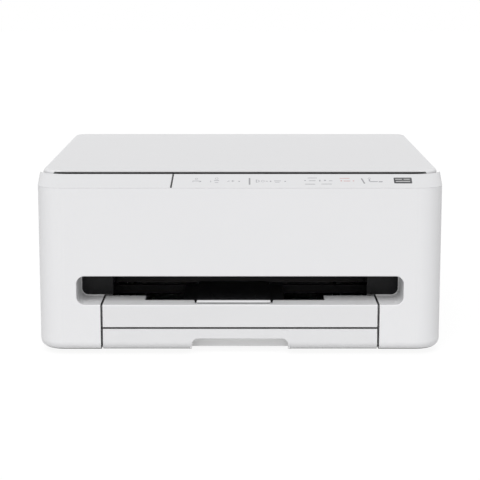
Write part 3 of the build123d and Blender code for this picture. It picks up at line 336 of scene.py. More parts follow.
def rolledSteel(name, colour, roughness=0.34):
    # cold-rolled sheet: fine streaks one way, with faint spangle
    mat = Finish(name)
    streak = mat.noise(mat.place(steel["along"]), steel["streakScale"], steel["detail"],
                       steel["streakRough"])
    cloud = mat.noise(mat.place(), steel["cloudScale"], steel["detail"])
    mat.set(Base_Color=mat.mixColour(cloud, shade(colour, steel["dull"]), colour), Metallic=1.0,
            Roughness=roughness + steel["streakShine"] * streak.centred()
            + steel["cloudShine"] * cloud.centred(),
            Normal=mat.bump(streak, steel["depth"]))
    return mat.material


rubber = {"poreScale": 1500.0, "poreDepth": 0.00003, "smutScale": 60.0, "smutDetail": 4.0,
          "shades": (0.8, 1.2), "roughness": 0.78, "shine": 0.14}


def rubberSkin(name, colour):
    mat = Finish(name)
    place = mat.place()
    pores = mat.cells(place, rubber["poreScale"])
    smut = mat.noise(place, rubber["smutScale"], rubber["smutDetail"])
    mat.set(Base_Color=mat.mixColour(smut, *(shade(colour, s) for s in rubber["shades"])),
            Roughness=rubber["roughness"] + rubber["shine"] * smut.centred(),
            Normal=mat.bump(pores, rubber["poreDepth"]))
    return mat.material


glass = {"colour": (0.93, 0.965, 0.955), "smearScale": 14.0, "smearDetail": 4.0,
         "roughness": 0.02, "smearShine": 0.05, "alpha": 0.34, "refraction": 1.52}


def clearGlass(name):
    mat = Finish(name)
    smear = mat.noise(mat.place(), glass["smearScale"], glass["smearDetail"])
    mat.set(Base_Color=glass["colour"], Alpha=glass["alpha"], IOR=glass["refraction"],
            Roughness=glass["roughness"] + glass["smearShine"] * smear * smear)
    return mat.material


foam = {"weaveScale": 700.0, "weaveDepth": 0.00002, "cloudScale": 25.0, "cloudDetail": 3.0,
        "cloudShine": 0.1, "roughness": 0.72,
        "colours": ((0.70, 0.70, 0.69), (0.76, 0.76, 0.75))}


def platenFoam(name):
    # white sheet over foam: fine woven bump, very even
    mat = Finish(name)
    place = mat.place()
    weave = mat.waves(place, foam["weaveScale"], "X") + mat.waves(place, foam["weaveScale"], "Y")
    cloud = mat.noise(place, foam["cloudScale"], foam["cloudDetail"])
    mat.set(Base_Color=mat.mixColour(cloud, *foam["colours"]),
            Roughness=foam["roughness"] + foam["cloudShine"] * cloud.centred(),
            Normal=mat.bump(weave, foam["weaveDepth"]))
    return mat.material


felt = {"along": (1.0, 0.25, 1.0), "fibreScale": 2200.0, "fibreDetail": 5.0,
        "fibreRough": 0.75, "fibreDepth": 0.00018, "blotScale": 45.0, "blotDetail": 3.0,
        "dull": 0.72, "roughness": 0.95}


def feltPad(name, colour):
    mat = Finish(name)
    fibre = mat.noise(mat.place(felt["along"]), felt["fibreScale"], felt["fibreDetail"],
                      felt["fibreRough"])
    blot = mat.noise(mat.place(), felt["blotScale"], felt["blotDetail"])
    mat.set(Base_Color=mat.mixColour(blot, shade(colour, felt["dull"]), colour),
            Roughness=felt["roughness"], Normal=mat.bump(fibre, felt["fibreDepth"]))
    return mat.material


board = {
    "tracks": (190.0, "Z", 3.2),    # wave scale, direction and distortion
    "trackCut": 0.6,
    "rows": (260.0, "Y", 2.0),
    "rowCut": 0.82,
    "padScale": 210.0,
    "padSize": 0.16,
    "padColour": (0.72, 0.66, 0.44),
    "padMetal": 0.8,
    "lighter": 1.9,
    "lighterShare": 0.55,
    "roughness": 0.32,
    "padShine": 0.1,
    "depth": 0.00003,
}


def circuitBoard(name, colour):
    # solder mask with tracks showing under it, and bare pads
    mat = Finish(name)
    place = mat.place()
    lines = (mat.waves(place, *board["tracks"]) > board["trackCut"]) \
        + (mat.waves(place, *board["rows"]) > board["rowCut"])
    pads = mat.cells(place, board["padScale"]) < board["padSize"]
    mask = mat.mixColour(lines.clamped() * board["lighterShare"], colour,
                         shade(colour, board["lighter"]))
    mat.set(Base_Color=mat.mixColour(pads, mask, board["padColour"]),
            Roughness=board["roughness"] + board["padShine"] * pads,
            Metallic=pads * board["padMetal"], Normal=mat.bump(lines, board["depth"]))
    return mat.material


film = {"lineScale": 620.0, "lineShare": 0.5, "clear": (0.75, 0.76, 0.76),
        "line": (0.14, 0.14, 0.15), "roughness": (0.2, 0.1), "alpha": (0.55, 0.4)}


def clearFilm(name):
    # encoder film: fine grey lines across its length
    mat = Finish(name)
    lines = mat.waves(mat.place(), film["lineScale"], "X") > film["lineShare"]
    plain, more = film["roughness"]
    thin, thick = film["alpha"]
    mat.set(Base_Color=mat.mixColour(lines, film["clear"], film["line"]),
            Roughness=plain + more * lines, Alpha=thin + thick * lines)
    return mat.material


scuffing = {"along": (1.0, 6.0, 1.0), "scale": 240.0, "detail": 4.0, "rough": 0.7,
            "sharp": 3.0, "paler": 0.05, "roughness": 0.38, "shine": 0.3, "depth": 0.00002}


def inkBlock(name, colour):
    # cartridge shell: satin plastic, scuffed where hands grip it
    mat = Finish(name)
    scuff = mat.noise(mat.place(scuffing["along"]), scuffing["scale"], scuffing["detail"],
                      scuffing["rough"]) ** scuffing["sharp"]
    mat.set(Base_Color=mat.mixColour(scuff, colour, tuple(c + scuffing["paler"] for c in colour)),
            Roughness=scuffing["roughness"] + scuffing["shine"] * scuff,
            Normal=mat.bump(scuff, scuffing["depth"]))
    return mat.material


ink = {"scale": 2400.0, "detail": 3.0, "rough": 0.6, "shades": (0.85, 1.12), "shine": 0.1,
       "depth": 0.000004}


def printInk(name, colour, roughness=0.55):
    # a printed or pad-stamped mark: slightly uneven cover
    mat = Finish(name)
    speck = mat.noise(mat.place(), ink["scale"], ink["detail"], ink["rough"])
    mat.set(Base_Color=mat.mixColour(speck, *(shade(colour, s) for s in ink["shades"])),
            Roughness=roughness + ink["shine"] * speck.centred(),
            Normal=mat.bump(speck, ink["depth"]))
    return mat.material


shellColour = (0.70, 0.70, 0.71)
# painted shade: the strip, bed and panel film are a darker white than the shell, so that the
# sloped strip shows as dark as the lid
stripShadedColour = (0.655, 0.655, 0.665)
blackTone = (0.006, 0.006, 0.007)
coarse = {"scale": 1300.0, "depth": 0.00003}
finishes = {
    "shell_white": mouldedPlastic("shellWhite", shellColour),
    "tray_white": mouldedPlastic("trayWhite", shellColour, roughness=0.46),
    "panel_white": mouldedPlastic("panelWhite", stripShadedColour, roughness=0.3, scale=2600.0,
                                  depth=0.000006),
    "black_gloss": glossPlastic("blackGloss", blackTone),
    "black_matte": mouldedPlastic("blackMatte", (0.014, 0.014, 0.015), roughness=0.5,
                                  spread=0.12, **coarse),
    "grey_plastic": mouldedPlastic("greyPlastic", (0.16, 0.16, 0.165), roughness=0.48,
                                   spread=0.06, **coarse),
    "natural_pom": mouldedPlastic("naturalPom", (0.66, 0.65, 0.61), roughness=0.36, scale=900.0,
                                  depth=0.00001, spread=0.04),
    "steel_sheet": rolledSteel("steelSheet", (0.56, 0.57, 0.57)),
    "steel_rod": rolledSteel("steelRod", (0.63, 0.63, 0.62), roughness=0.2),
    "rubber_dark": rubberSkin("rubberDark", (0.035, 0.035, 0.037)),
    "rubber_grey": rubberSkin("rubberGrey", (0.22, 0.22, 0.23)),
    "glass_clear": clearGlass("scanGlass"),
    "foam_white": platenFoam("platenFoam"),
    "board_green": circuitBoard("boardGreen", (0.016, 0.11, 0.045)),
    "film_clear": clearFilm("encoderFilm"),
    "felt": feltPad("wasteFelt", (0.45, 0.44, 0.40)),
    "ink_black": inkBlock("inkBlack", (0.02, 0.02, 0.022)),
    "ink_colour": inkBlock("inkColour", (0.075, 0.078, 0.085)),
}
print("finishes made:", len(finishes))

# painted shade and painted light, and the liner's white ends, set by place, in metres because the
# shaders read metres
tray = {
    "colour": (0.66, 0.66, 0.668),
    # painted light: the ledge and the inside of the slot lighter than the shell
    "ledge": (0.88, 0.88, 0.88),
    "run": (-0.166, -0.130),      # painted light, stronger towards the back
    "floor": 0.0479,
    "ledgeBack": -0.1334,         # the white part of the ledge ends here, painted shade behind it
    "cutFront": -0.1535,          # and here in its middle
    "cut": (-0.0894, 0.0795),
    "side": 0.1277,               # painted shade from here out, as on the drawer
    "foot": 0.0270,
}
lip = {"back": -0.1674, "foot": 0.0490}    # painted shade under the extension's lip and behind it


def towardsBack(y):
    low, high = tray["run"]
    return ((y - low) / (high - low)).clamped()


# painted shade behind the ledge, in its middle cut, at the sides and at the foot
def trayPaintedShade(x, y, z):
    middle = between(x, *tray["cut"]) * (y > tray["cutFront"])
    return middle + (y > tray["ledgeBack"]) + (abs(x) > tray["side"]) + (z < tray["foot"])


# painted light on the ledge, stronger towards the back
def ledgePaintedLight(x, y, z):
    return towardsBack(y) * (z > tray["floor"])


# painted shade behind the extension's lip and under it
def lipPaintedShade(x, y, z):
    return (y > lip["back"]) + (z < lip["foot"])


drawer = {
    # painted shade on the drawer's sides, in the slit over it and along its lowest edge
    "gap": (0.02, 0.02, 0.02),
    "front": -0.1746,             # painted shade in the slit over the drawer, behind this
    "top": 0.0251,
    "lowest": 0.0062,
    # painted light in the finger pocket
    "pocketLightColour": (0.86, 0.86, 0.86),
    "pocketHalf": 0.0465,
    "pocketFront": -0.1735,
    "pocketTop": 0.0168,
}


# painted shade in the slits round the drawer and along its lowest edge
def drawerPaintedShade(x, y, z):
    return (abs(x) > tray["side"]) + (z > drawer["top"]) * (y > drawer["front"]) \
        + (z < drawer["lowest"]) * (abs(x) > drawer["pocketHalf"])


# painted light in the finger pocket
def pocketPaintedLight(x, y, z):
    return (abs(x) < drawer["pocketHalf"]) * (y > drawer["pocketFront"]) \
        * (z < drawer["pocketTop"])


case = {
    # painted shade at the sides of the band opening and along the lowest edge
    "gap": (0.02, 0.02, 0.02),
    "sides": (0.1285, 0.1297),    # of the opening that the bands sit in
    "sidesTop": 0.0482,
    "lowest": 0.0062,
    "slotHalf": 0.1519,
    "slotTop": 0.0753,
}


# painted shade at the sides of the band opening and along the lowest edge
def openingPaintedShade(x, y, z):
    return between(abs(x), *case["sides"]) * (z < case["sidesTop"]) + (z < case["lowest"])


# painted light inside the slot, stronger towards the back
def slotPaintedLight(x, y, z):
    return towardsBack(y) * (abs(x) < case["slotHalf"]) * (z < case["slotTop"])


liner = {
    "rim": (0.80, 0.80, 0.80),
    "side": 0.1441,
    "low": 0.0556,
    "radius": 0.0064,
    "front": -0.1276,
    "lean": 3.68,                 # the rim is deeper towards the ends
    "refraction": 1.25,
}


def linerRim(x, y, z):
    # the white of the slot's floor and ends reaches into the liner
    across, down = (abs(x) - liner["side"]).clamped(), (liner["low"] - z).clamped()
    outer = (across * across + down * down) ** 0.5 > liner["radius"]
    return outer * (y < across * liner["lean"] + liner["front"])


lid = {
    "groove": (0.09, 0.09, 0.09),
    "nose": (-0.1479, 0.16925),    # painted shade behind and under the lid's front edge
    "edge": (-0.1496, 0.1849),     # painted shade on the rim from here, in front and at the sides
    "rimShadeColour": (0.52, 0.52, 0.525),
}


# painted shade behind and under the lid's front edge
def lidGroovePaintedShade(x, y, z):
    return (y < lid["nose"][0]) * (z < lid["nose"][1])


# painted shade on the lid's rim, in front and at the sides
def lidRimPaintedShade(x, y, z):
    return (y < lid["edge"][0]) + (abs(x) > lid["edge"][1])


seam = {
    # painted shade in the seam at the panel's left end
    "colour": (0.03, 0.03, 0.03),
    "front": (-0.06345, -0.175),    # x and y of the seam at the panel's left end
    "back": (-0.06185, -0.154),
    "half": 0.0008,
    "low": 0.1577,
}


# painted shade in the seam at the panel's left end
def seamPaintedShade(x, y, z):
    (frontX, frontY), (backX, backY) = seam["front"], seam["back"]
    middle = frontX + (y - frontY) * ((backX - frontX) / (backY - frontY))
    return between(x - middle, -seam["half"], seam["half"]) * (y < backY) * (z > seam["low"])


bedRim = {
    "gap": (0.05, 0.05, 0.05),
    "corner": (0.161, -0.127),     # the painted shade line follows the lid's front corners from here
    "ring": (0.0236, 0.0267),
    "top": 0.1680,
    "fadeFrom": 0.1775,
    "fadeOver": 0.010,
    "beside": (0.1848, 0.1868),    # faint painted shade line on the rim beside the lid
    "besideShare": 0.36,
}


# painted shade in the panel seam, round the lid's front corners and beside the lid
def bedRimPaintedShade(x, y, z):
    along = (abs(x) - bedRim["corner"][0]).clamped()
    out = y - bedRim["corner"][1]
    reach = (along * along + out * out) ** 0.5
    line = between(reach, *bedRim["ring"]) * (out < 0.0) * (z < bedRim["top"])
    faded = line * ((bedRim["fadeFrom"] - abs(x)) / bedRim["fadeOver"]).clamped()
    beside = between(abs(x), *bedRim["beside"]) * (out > 0.0) * bedRim["besideShare"]
    return seamPaintedShade(x, y, z) + faded + beside


# painted shade in slits and recesses, painted light on the ledge, in the slot and in the finger
# pocket; the liner's ends are the white of the slot
ownFinish = {
    "output_tray": paintedShadeLightAndTone("trayPaintedShadeLight", tray["colour"], blackTone, trayPaintedShade,
                           thirdColour=tray["ledge"], thirdMask=ledgePaintedLight),
    "tray_extension": paintedShadeLightAndTone("extensionPaintedShade", tray["colour"], blackTone, lipPaintedShade),
    "output_stopper": paintedShadeLightAndTone("stopperPaintedShade", tray["colour"], blackTone, lipPaintedShade),
    "cassette_front": paintedShadeLightAndTone("drawerWhite", tray["colour"], drawer["gap"], drawerPaintedShade,
                              thirdColour=drawer["pocketLightColour"], thirdMask=pocketPaintedLight),
    "front_case": paintedShadeLightAndTone("frontWhite", shellColour, case["gap"], openingPaintedShade, roughness=0.42,
                          thirdColour=tray["ledge"], thirdMask=slotPaintedLight),
    "scanner_top": paintedShadeLightAndTone("bedWhite", stripShadedColour, bedRim["gap"], bedRimPaintedShade, roughness=0.42),
    "operation_panel": paintedShadeLightAndTone("panelFilm", stripShadedColour, seam["colour"], seamPaintedShade,
                               roughness=0.34),
    "document_cover": paintedShadeLightAndTone("lidWhite", shellColour, lid["groove"], lidGroovePaintedShade, roughness=0.42,
                              thirdColour=lid["rimShadeColour"], thirdMask=lidRimPaintedShade),
    "slot_liner": paintedShadeLightAndTone("linerBlack", blackTone, liner["rim"], linerRim, roughness=0.26,
                          refraction=liner["refraction"]),
    "print_base": mouldedPlastic("baseBlack", blackTone, roughness=0.5, spread=0.1, **coarse),
}
for part in record["subparts"]:
    finish = ownFinish.get(part["node"], finishes[part["material_slot"]])
    data = nodes[part["node"]].data
    data.materials.clear()
    data.materials.append(finish)
print("finishes set:", len(ownFinish), "nodes have their own")

# from here on places and sizes are in mm
meshing = {"weld": 0.0005, "sharp": 35.0, "topShare": 0.99, "edgeSegments": 2}


def corners(node):
    # a node's lowest and highest corner
    return [[round(c / mm, 3) for c in corner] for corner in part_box(node)]


def at(x, y, z, turn=0.0):
    spot = Matrix.Translation((x * mm, y * mm, z * mm))
    return spot @ Matrix.Rotation(radians(turn), 4, "Z")


def keepIn(shape, part, place):
    # puts a finished part in its place and adds it to the piece's mesh
    bmesh.ops.transform(part, matrix=place, verts=part.verts)
    hold = bpy.data.meshes.new("hold")
    part.to_mesh(hold)
    part.free()
    shape.from_mesh(hold)
    bpy.data.meshes.remove(hold)


def easeEdges(part, edges, offset, segments):
    bmesh.ops.bevel(part, geom=edges, offset=offset * mm, offset_type="OFFSET",
                    segments=segments, profile=0.5, affect="EDGES", material=-1,
                    clamp_overlap=True)


def topEdges(part, height):
    return [e for e in part.edges
            if all(v.co.z > height * mm * meshing["topShare"] for v in e.verts)]


def addPlate(shape, place, size, corner=0.0, edge=0.0, segments=3):
    # plate with rounded corners and an eased upper edge; place is its middle underneath
    part = bmesh.new()
    height = size[2] * mm
    bmesh.ops.create_cube(part, size=1.0)
    bmesh.ops.scale(part, vec=[s * mm for s in size], verts=part.verts)
    bmesh.ops.translate(part, vec=(0.0, 0.0, height / 2), verts=part.verts)
    if corner > 0.0:
        upright = [e for e in part.edges
                   if abs(e.verts[0].co.z - e.verts[1].co.z) > height / 2]
        easeEdges(part, upright, corner, segments)
    if edge > 0.0:
        rim = [e for e in topEdges(part, size[2]) if len(e.link_faces) == 2
               and any(abs(f.normal.z) < 0.5 for f in e.link_faces)]
        easeEdges(part, rim, edge, meshing["edgeSegments"])
    keepIn(shape, part, place)


def addDisc(shape, place, radius, depth, edge=0.0, sides=24):
    part = bmesh.new()
    bmesh.ops.create_cone(part, cap_ends=True, segments=sides, radius1=radius * mm,
                          radius2=radius * mm, depth=depth * mm)
    bmesh.ops.translate(part, vec=(0.0, 0.0, depth * mm / 2), verts=part.verts)
    if edge > 0.0:
        easeEdges(part, topEdges(part, depth), edge, meshing["edgeSegments"])
    keepIn(shape, part, place)


def addRing(shape, place, radius, width, depth, sides=28):
    # a rectangle spun once round
    part = bmesh.new()
    outline = [part.verts.new((r * mm, 0.0, z * mm)) for r, z in
               ((radius, 0.0), (radius + width, 0.0), (radius + width, depth), (radius, depth))]
    loop = [part.edges.new((outline[i - 1], outline[i])) for i in range(4)]
    bmesh.ops.spin(part, geom=outline + loop, cent=(0, 0, 0), axis=(0, 0, 1),
                   angle=radians(360), steps=sides, use_merge=True)
    keepIn(shape, part, place)


def finishPiece(name, shape, finish, body):
    bmesh.ops.remove_doubles(shape, verts=shape.verts, dist=meshing["weld"] * mm)
    bmesh.ops.recalc_face_normals(shape, faces=shape.faces)
    data = bpy.data.meshes.new(name)
    shape.to_mesh(data)
    shape.free()
    data.shade_smooth()
    data.set_sharp_from_angle(angle=radians(meshing["sharp"]))
    data.materials.append(finish)
    piece = bpy.data.objects.new(name, data)
    bpy.context.scene.collection.objects.link(piece)
    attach(piece, body)
    return piece


slope = {
    "front": (-175.0, 157.5),     # y and z of the strip's lower edge
    "back": (-154.2, 167.7),      # and of its upper edge
    "lift": 0.01,
    "thick": 0.05,
}
keyMarks = {
    # middle along x and up the strip, length and height, and turn in degrees
    "down": 2.5,
    "strokes": (
        (-43.4, 13.6, 0.6, 2.2, 0), (-40.2, 14.2, 5.6, 0.7, 0), (-36.6, 13.6, 1.6, 1.6, 45),
        (-27.0, 13.4, 0.6, 2.4, 0), (-21.6, 14.8, 4.8, 0.8, 0), (-21.6, 11.6, 3.4, 0.6, 0),
        (-10.6, 13.8, 2.4, 0.6, 30), (-6.6, 14.2, 0.6, 3.0, 0), (-6.6, 14.2, 3.0, 0.6, 0),
        (-0.8, 13.6, 1.4, 1.4, 0), (15.0, 14.0, 0.7, 5.0, 0), (17.0, 15.2, 2.6, 0.6, -35),
        (17.0, 12.8, 2.6, 0.6, 35), (24.6, 13.8, 2.2, 0.6, -20), (28.2, 13.8, 1.6, 1.6, 45),
        (34.6, 14.4, 6.4, 0.7, 0), (34.2, 12.2, 4.2, 0.6, 0), (41.6, 13.6, 1.4, 1.4, 0),
        (66.8, 19.2, 8.8, 0.7, 0), (60.0, 15.0, 1.4, 1.4, 45), (66.6, 14.6, 6.2, 0.8, 0),
        (73.6, 14.8, 1.2, 2.6, 0), (78.4, 15.2, 1.8, 1.8, 45), (83.6, 14.6, 3.2, 0.7, 0),
        (64.4, 9.0, 9.4, 0.8, 0), (79.6, 9.2, 9.8, 0.7, 0), (119.4, 15.2, 1.2, 3.4, 0),
        (123.4, 13.2, 7.2, 1.2, 0), (129.6, 13.0, 3.6, 1.6, 0),
    ),
    "rings": ((-40.2, 17.8, 1.0), (-21.6, 18.2, 1.2), (21.0, 14.0, 1.3), (119.4, 18.4, 0.9)),
    "ringWidth": 0.32,
    "dividers": ((8.8, 13.6, 1.5, 11.0, 0), (113.4, 14.2, 1.4, 9.0, 16)),
    "red": ((96.6, 18.6, 9.2, 0.8, 0), (93.4, 14.6, 1.2, 2.2, 0), (98.6, 14.2, 6.2, 1.0, 0),
            (104.6, 14.4, 1.4, 1.4, 0)),
    "round": 0.3,    # corner radius as a share of a stroke's narrow side
    "greyInk": (0.33, 0.33, 0.35),
    "dividerInk": (0.30, 0.30, 0.31),
    "redInk": (0.55, 0.34, 0.34),
}
badge = {
    "middle": (150.2, 15.0),
    "size": (16.6, 9.4, 0.12),
    "corner": 0.8,
    "edge": 0.04,
    "lines": ((-3.8, 1.9, 6.4, 1.1), (3.6, 1.9, 5.6, 1.1), (0.0, -1.7, 13.2, 1.3)),
    "lineCorner": 0.3,
    "ink": (0.05, 0.05, 0.055),
    "lineInk": (0.50, 0.50, 0.50),
}


def onSlope(x, up, lift=slope["lift"], turn=0.0):
    # a place on the strip: along x, up the slope and out of it
    run, rise = (back - front for front, back in zip(slope["front"], slope["back"]))
    tilt = atan2(rise, run)
    up -= keyMarks["down"]
    spot = at(x, slope["front"][0] + up * cos(tilt) - lift * sin(tilt),
              slope["front"][1] + up * sin(tilt) + lift * cos(tilt))
    return spot @ Matrix.Rotation(tilt, 4, "X") @ Matrix.Rotation(radians(turn), 4, "Z")


def addStrokes(shape, strokes):
    for x, up, length, height, turn in strokes:
        addPlate(shape, onSlope(x, up, turn=turn), (length, height, slope["thick"]),
                 min(length, height) * keyMarks["round"], segments=2)


def addKeyMarks():
    shape = bmesh.new()
    addStrokes(shape, keyMarks["strokes"])
    for x, up, radius in keyMarks["rings"]:
        addRing(shape, onSlope(x, up), radius, keyMarks["ringWidth"], slope["thick"])
    finishPiece("keyMarks", shape, printInk("markGrey", keyMarks["greyInk"]), "scanner_unit")
    shape = bmesh.new()
    addStrokes(shape, keyMarks["dividers"])
    finishPiece("keyDividers", shape, printInk("dividerGrey", keyMarks["dividerInk"]),
                "scanner_unit")
    shape = bmesh.new()
    addStrokes(shape, keyMarks["red"])
    finishPiece("keyMarksRed", shape, printInk("markRed", keyMarks["redInk"]), "scanner_unit")


def addBadge():
    shape = bmesh.new()
    addPlate(shape, onSlope(*badge["middle"]), badge["size"], badge["corner"], badge["edge"])
    finishPiece("stripBadge", shape, printInk("badgeGrey", badge["ink"], roughness=0.35),
                "scanner_unit")
    shape = bmesh.new()
    for x, up, length, height in badge["lines"]:
        spot = onSlope(badge["middle"][0] + x, badge["middle"][1] + up,
                       slope["lift"] + badge["size"][2])
        addPlate(shape, spot, (length, height, slope["thick"]), badge["lineCorner"], segments=2)
    finishPiece("badgeLines", shape, printInk("badgeLight", badge["lineInk"]), "scanner_unit")


addKeyMarks()
addBadge()
print("key marks placed")

# size ticks and the corner arrow on the bed, round the glass
bed = {
    "seat": 3.0,          # the glass reaches under the bed by this
    "tickStep": 10.0,
    "tickGap": 4.0,
    "longEvery": 5,
    "tickLong": 3.2,
    "tickShort": 1.8,
    "tickWidth": 0.35,
    "arrow": (-158.0, -141.0),
    "arrowRadius": 3.4,
    "arrowTurn": -45.0,
    "thick": 0.06,
    "ink": (0.12, 0.12, 0.13),
}
whiteStrip = {"sideGap": 0.6, "endGap": 0.5, "underGlass": 0.15, "width": 10.0, "thick": 0.3,
              "corner": 0.8}
lens = {"endGap": 3.0, "width": 2.4, "high": 0.55, "count": 84, "fill": 0.86, "corner": 0.5,
        "edge": 0.3, "colour": (0.02, 0.035, 0.06)}
light = {"beside": 3.8, "width": 3.2, "corner": 0.4, "colour": (0.72, 0.74, 0.74)}


def addBedMarks():
    (left, front, _), (right, back, top) = corners("scan_glass")
    left, front, right, back = (left + bed["seat"], front + bed["seat"],
                                right - bed["seat"], back - bed["seat"])
    shape = bmesh.new()

    def addTicks(length, alongX):
        for i in range(int(length / bed["tickStep"]) + 1):
            long = bed["tickLong"] if i % bed["longEvery"] == 0 else bed["tickShort"]
            out = bed["tickGap"] + long / 2
            if alongX:
                addPlate(shape, at(left + i * bed["tickStep"], front - out, top),
                         (bed["tickWidth"], long, bed["thick"]))
            else:
                addPlate(shape, at(left - out, front + i * bed["tickStep"], top),
                         (long, bed["tickWidth"], bed["thick"]))

    addTicks(right - left, True)
    addTicks(back - front, False)
    addDisc(shape, at(*bed["arrow"], top, bed["arrowTurn"]), bed["arrowRadius"], bed["thick"],
            sides=3)
    finishPiece("bedMarks", shape, printInk("bedInk", bed["ink"]), "scanner_unit")


def addWhiteStrip():
    (left, front, under), (_, back, _) = corners("scan_glass")
    inset = bed["seat"] + whiteStrip["endGap"]
    x = left + bed["seat"] + whiteStrip["sideGap"] + whiteStrip["width"] / 2
    z = under - whiteStrip["underGlass"] - whiteStrip["thick"]
    shape = bmesh.new()
    addPlate(shape, at(x, (front + back) / 2, z),
             (whiteStrip["width"], back - front - 2 * inset, whiteStrip["thick"]),
             whiteStrip["corner"])
    finishPiece("whiteStrip", shape, finishes["foam_white"], "scanner_unit")


def addScanDetail():
    # the light guide and the row of lenses on the scan bar
    (left, front, _), (right, back, top) = corners("scan_bar")
    middle = (left + right) / 2
    front, back = front + lens["endGap"], back - lens["endGap"]
    shape = bmesh.new()
    addPlate(shape, at(middle + light["beside"], (front + back) / 2, top),
             (light["width"], back - front, lens["high"]), light["corner"], lens["edge"])
    finishPiece("scanLight", shape, mouldedPlastic("lightGuide", light["colour"], roughness=0.18,
                                                   scale=500.0, depth=0.000004),
                "scan_bar")
    shape = bmesh.new()
    pitch = (back - front) / lens["count"]
    for i in range(lens["count"]):
        addPlate(shape, at(middle, front + (i + 0.5) * pitch, top),
                 (lens["width"], pitch * lens["fill"], lens["high"]), lens["corner"],
                 lens["edge"], 2)
    finishPiece("scanLens", shape, glossPlastic("lensDark", lens["colour"], roughness=0.08),
                "scan_bar")


addBedMarks()
addWhiteStrip()
addScanDetail()
print("scanner bed marked")

locks = {
    # the ink colours named with dots on each lock
    "lock_black": (("inkDotBlack", blackTone),),
    "lock_colour": (("inkDotCyan", (0.0, 0.26, 0.55)), ("inkDotMagenta", (0.55, 0.02, 0.16)),
                    ("inkDotYellow", (0.75, 0.58, 0.02))),
}
lockTop = {
    # distances from the lock's front edge
    "ribs": 4,
    "ribsAt": 4.0,
    "ribPitch": 2.2,
    "ribSize": (17.0, 0.9, 0.6),
    "ribCorner": 0.4,
    "ribEdge": 0.25,
    "fieldAt": 17.0,
    "fieldSize": (20.0, 9.0, 0.12),
    "fieldCorner": 1.0,
    "paper": (0.62, 0.62, 0.61),
    "dotsAt": 28.0,
    "dotPitch": 6.4,
    "dotRadius": 2.3,
    "dotThick": 0.15,
    "edge": 0.05,
}


def addLockDetail():
    for body, dots in locks.items():
        (left, front, _), (right, _, top) = corners("cartridge_" + body)
        middle = (left + right) / 2
        shape = bmesh.new()
        for i in range(lockTop["ribs"]):
            y = front + lockTop["ribsAt"] + i * lockTop["ribPitch"]
            addPlate(shape, at(middle, y, top), lockTop["ribSize"], lockTop["ribCorner"],
                     lockTop["ribEdge"], 2)
        finishPiece(body + "Ribs", shape, finishes["grey_plastic"], body)
        shape = bmesh.new()
        addPlate(shape, at(middle, front + lockTop["fieldAt"], top), lockTop["fieldSize"],
                 lockTop["fieldCorner"], lockTop["edge"])
        finishPiece(body + "Label", shape, printInk(body + "Paper", lockTop["paper"]), body)
        for i, (name, colour) in enumerate(dots):
            shape = bmesh.new()
            x = middle + (i - (len(dots) - 1) / 2) * lockTop["dotPitch"]
            addDisc(shape, at(x, front + lockTop["dotsAt"], top), lockTop["dotRadius"],
                    lockTop["dotThick"], lockTop["edge"])
            finishPiece(name, shape, printInk(name + "Paint", colour, roughness=0.4), body)


addLockDetail()
print("carriage locks marked")

# paper scale on the cassette's floor, behind the side guides
drawerScale = {"floor": 2.0, "behind": 10.0, "starts": (-112.0, 34.0), "pitch": 12.0,
               "count": 7, "size": (0.5, 3.4, 0.2), "ink": (0.10, 0.10, 0.11)}


def addDrawerScale():
    z = corners("cassette_tray")[0][2] + drawerScale["floor"]
    y = corners("paper_guide_left")[1][1] + drawerScale["behind"]
    shape = bmesh.new()
    for start in drawerScale["starts"]:
        for i in range(drawerScale["count"]):
            addPlate(shape, at(start + i * drawerScale["pitch"], y, z), drawerScale["size"])
    finishPiece("drawerScale", shape, printInk("scaleInk", drawerScale["ink"]), "cassette")


addDrawerScale()
print("drawer scale placed")

rearPlate = {"middle": (0.0, 133.0), "size": (75.4, 14.4, 0.32), "recess": 0.4, "corner": 0.6,
             "border": 1.2, "colour": (0.52, 0.53, 0.54)}
basePlate = {"middle": (40.0, 60.0), "size": (84.0, 34.0, 0.3), "corner": 1.5,
             "border": 2.0, "colour": (0.66, 0.66, 0.66)}
foil = {"edge": 0.06, "line": 0.5, "lineColour": (0.2, 0.2, 0.21), "lineShare": 0.7,
        "fibreScale": 700.0, "fibreDetail": 4.0, "fibreRough": 0.6, "fibreDepth": 0.000004,
        "fibreShine": 0.08, "roughness": 0.34, "dull": 0.96}


def platePaper(name, plate, upAxis):
    # plain foil label: a darker border line round a bare field
    mat = Finish(name)
    fibre = mat.noise(mat.place(), foil["fibreScale"], foil["fibreDetail"], foil["fibreRough"])
    spots = mat.spots()
    across = abs(spots[0] - plate["middle"][0] * mm)
    up = abs(spots[upAxis] - plate["middle"][1] * mm)

    def within(inset):
        width, height = ((s / 2 - inset) * mm for s in plate["size"][:2])
        return (across < width) * (up < height)

    line = within(plate["border"]) - within(plate["border"] + foil["line"])
    base = mat.mixColour(fibre, shade(plate["colour"], foil["dull"]), plate["colour"])
    mat.set(Base_Color=mat.mixColour(line * foil["lineShare"], base, foil["lineColour"]),
            Roughness=foil["roughness"] + foil["fibreShine"] * fibre,
            Normal=mat.bump(fibre, foil["fibreDepth"]))
    return mat.material


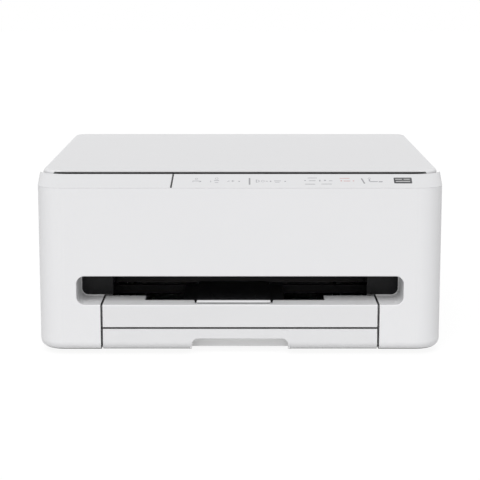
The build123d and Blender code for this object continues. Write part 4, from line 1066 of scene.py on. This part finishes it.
def addBlankPlate(name, plate, finishName, spot, turn, upAxis):
    shape = bmesh.new()
    addPlate(shape, at(*spot) @ Matrix.Rotation(radians(turn), 4, "X"), plate["size"],
             plate["corner"], foil["edge"])
    finishPiece(name, shape, platePaper(finishName, plate, upAxis), "chassis")


rearX, rearZ = rearPlate["middle"]
rearFace = corners("rear_case")[1][1] - rearPlate["recess"]
baseFace = corners("base_case")[0][2]
addBlankPlate("rearPlate", rearPlate, "foilGrey", (rearX, rearFace, rearZ), -90, 2)
addBlankPlate("basePlate", basePlate, "foilWhite", (*basePlate["middle"], baseFace), 180, 1)
print("blank plates placed")


def addFloor():
    # pale floor that shows nearly white to the camera and keeps the shadow
    grid = bmesh.new()
    bmesh.ops.create_grid(grid, x_segments=2, y_segments=2, size=studio["floorSize"] / 2)
    data = bpy.data.meshes.new("floor")
    grid.to_mesh(data)
    grid.free()
    floor = bpy.data.objects.new("floor", data)
    bpy.context.scene.collection.objects.link(floor)
    mat = Finish("paleFloor")
    cloud = mat.noise(mat.place(), studio["floorCloud"])
    paler = tuple(c + studio["floorDrift"] for c in studio["floorColour"])
    mat.set(Base_Color=mat.mixColour(cloud, studio["floorColour"], paler),
            Roughness=studio["floorRoughness"])
    shown = mat.node("ShaderNodeEmission", {}, {"Strength": studio["floorShown"]})
    blend = mat.node("ShaderNodeMixShader", {}, {0: mat.shownRays() * studio["floorLift"],
                                                 1: mat.surface, 2: shown})
    mat.feed(mat.output.inputs["Surface"], blend)
    data.materials.append(mat.material)


def lightWorld():
    # white to the camera and in reflections, softer as light
    world = bpy.data.worlds.new("studioWhite")
    bpy.context.scene.world = world
    world.use_nodes = True
    sky = NodeSet(world.node_tree)
    soft, shown = (sky.node("ShaderNodeBackground", {}, {"Color": studio["white"],
                                                         "Strength": studio[strength]})
                   for strength in ("worldStrength", "shownWhite"))
    blend = sky.node("ShaderNodeMixShader", {}, {0: sky.shownRays(), 1: soft, 2: shown})
    sky.node("ShaderNodeOutputWorld", {}, {"Surface": blend})


addFloor()
lightWorld()
addCamera()
addSun()
bpy.context.scene.view_settings.view_transform = "Standard"
print("camera, light and floor ready")
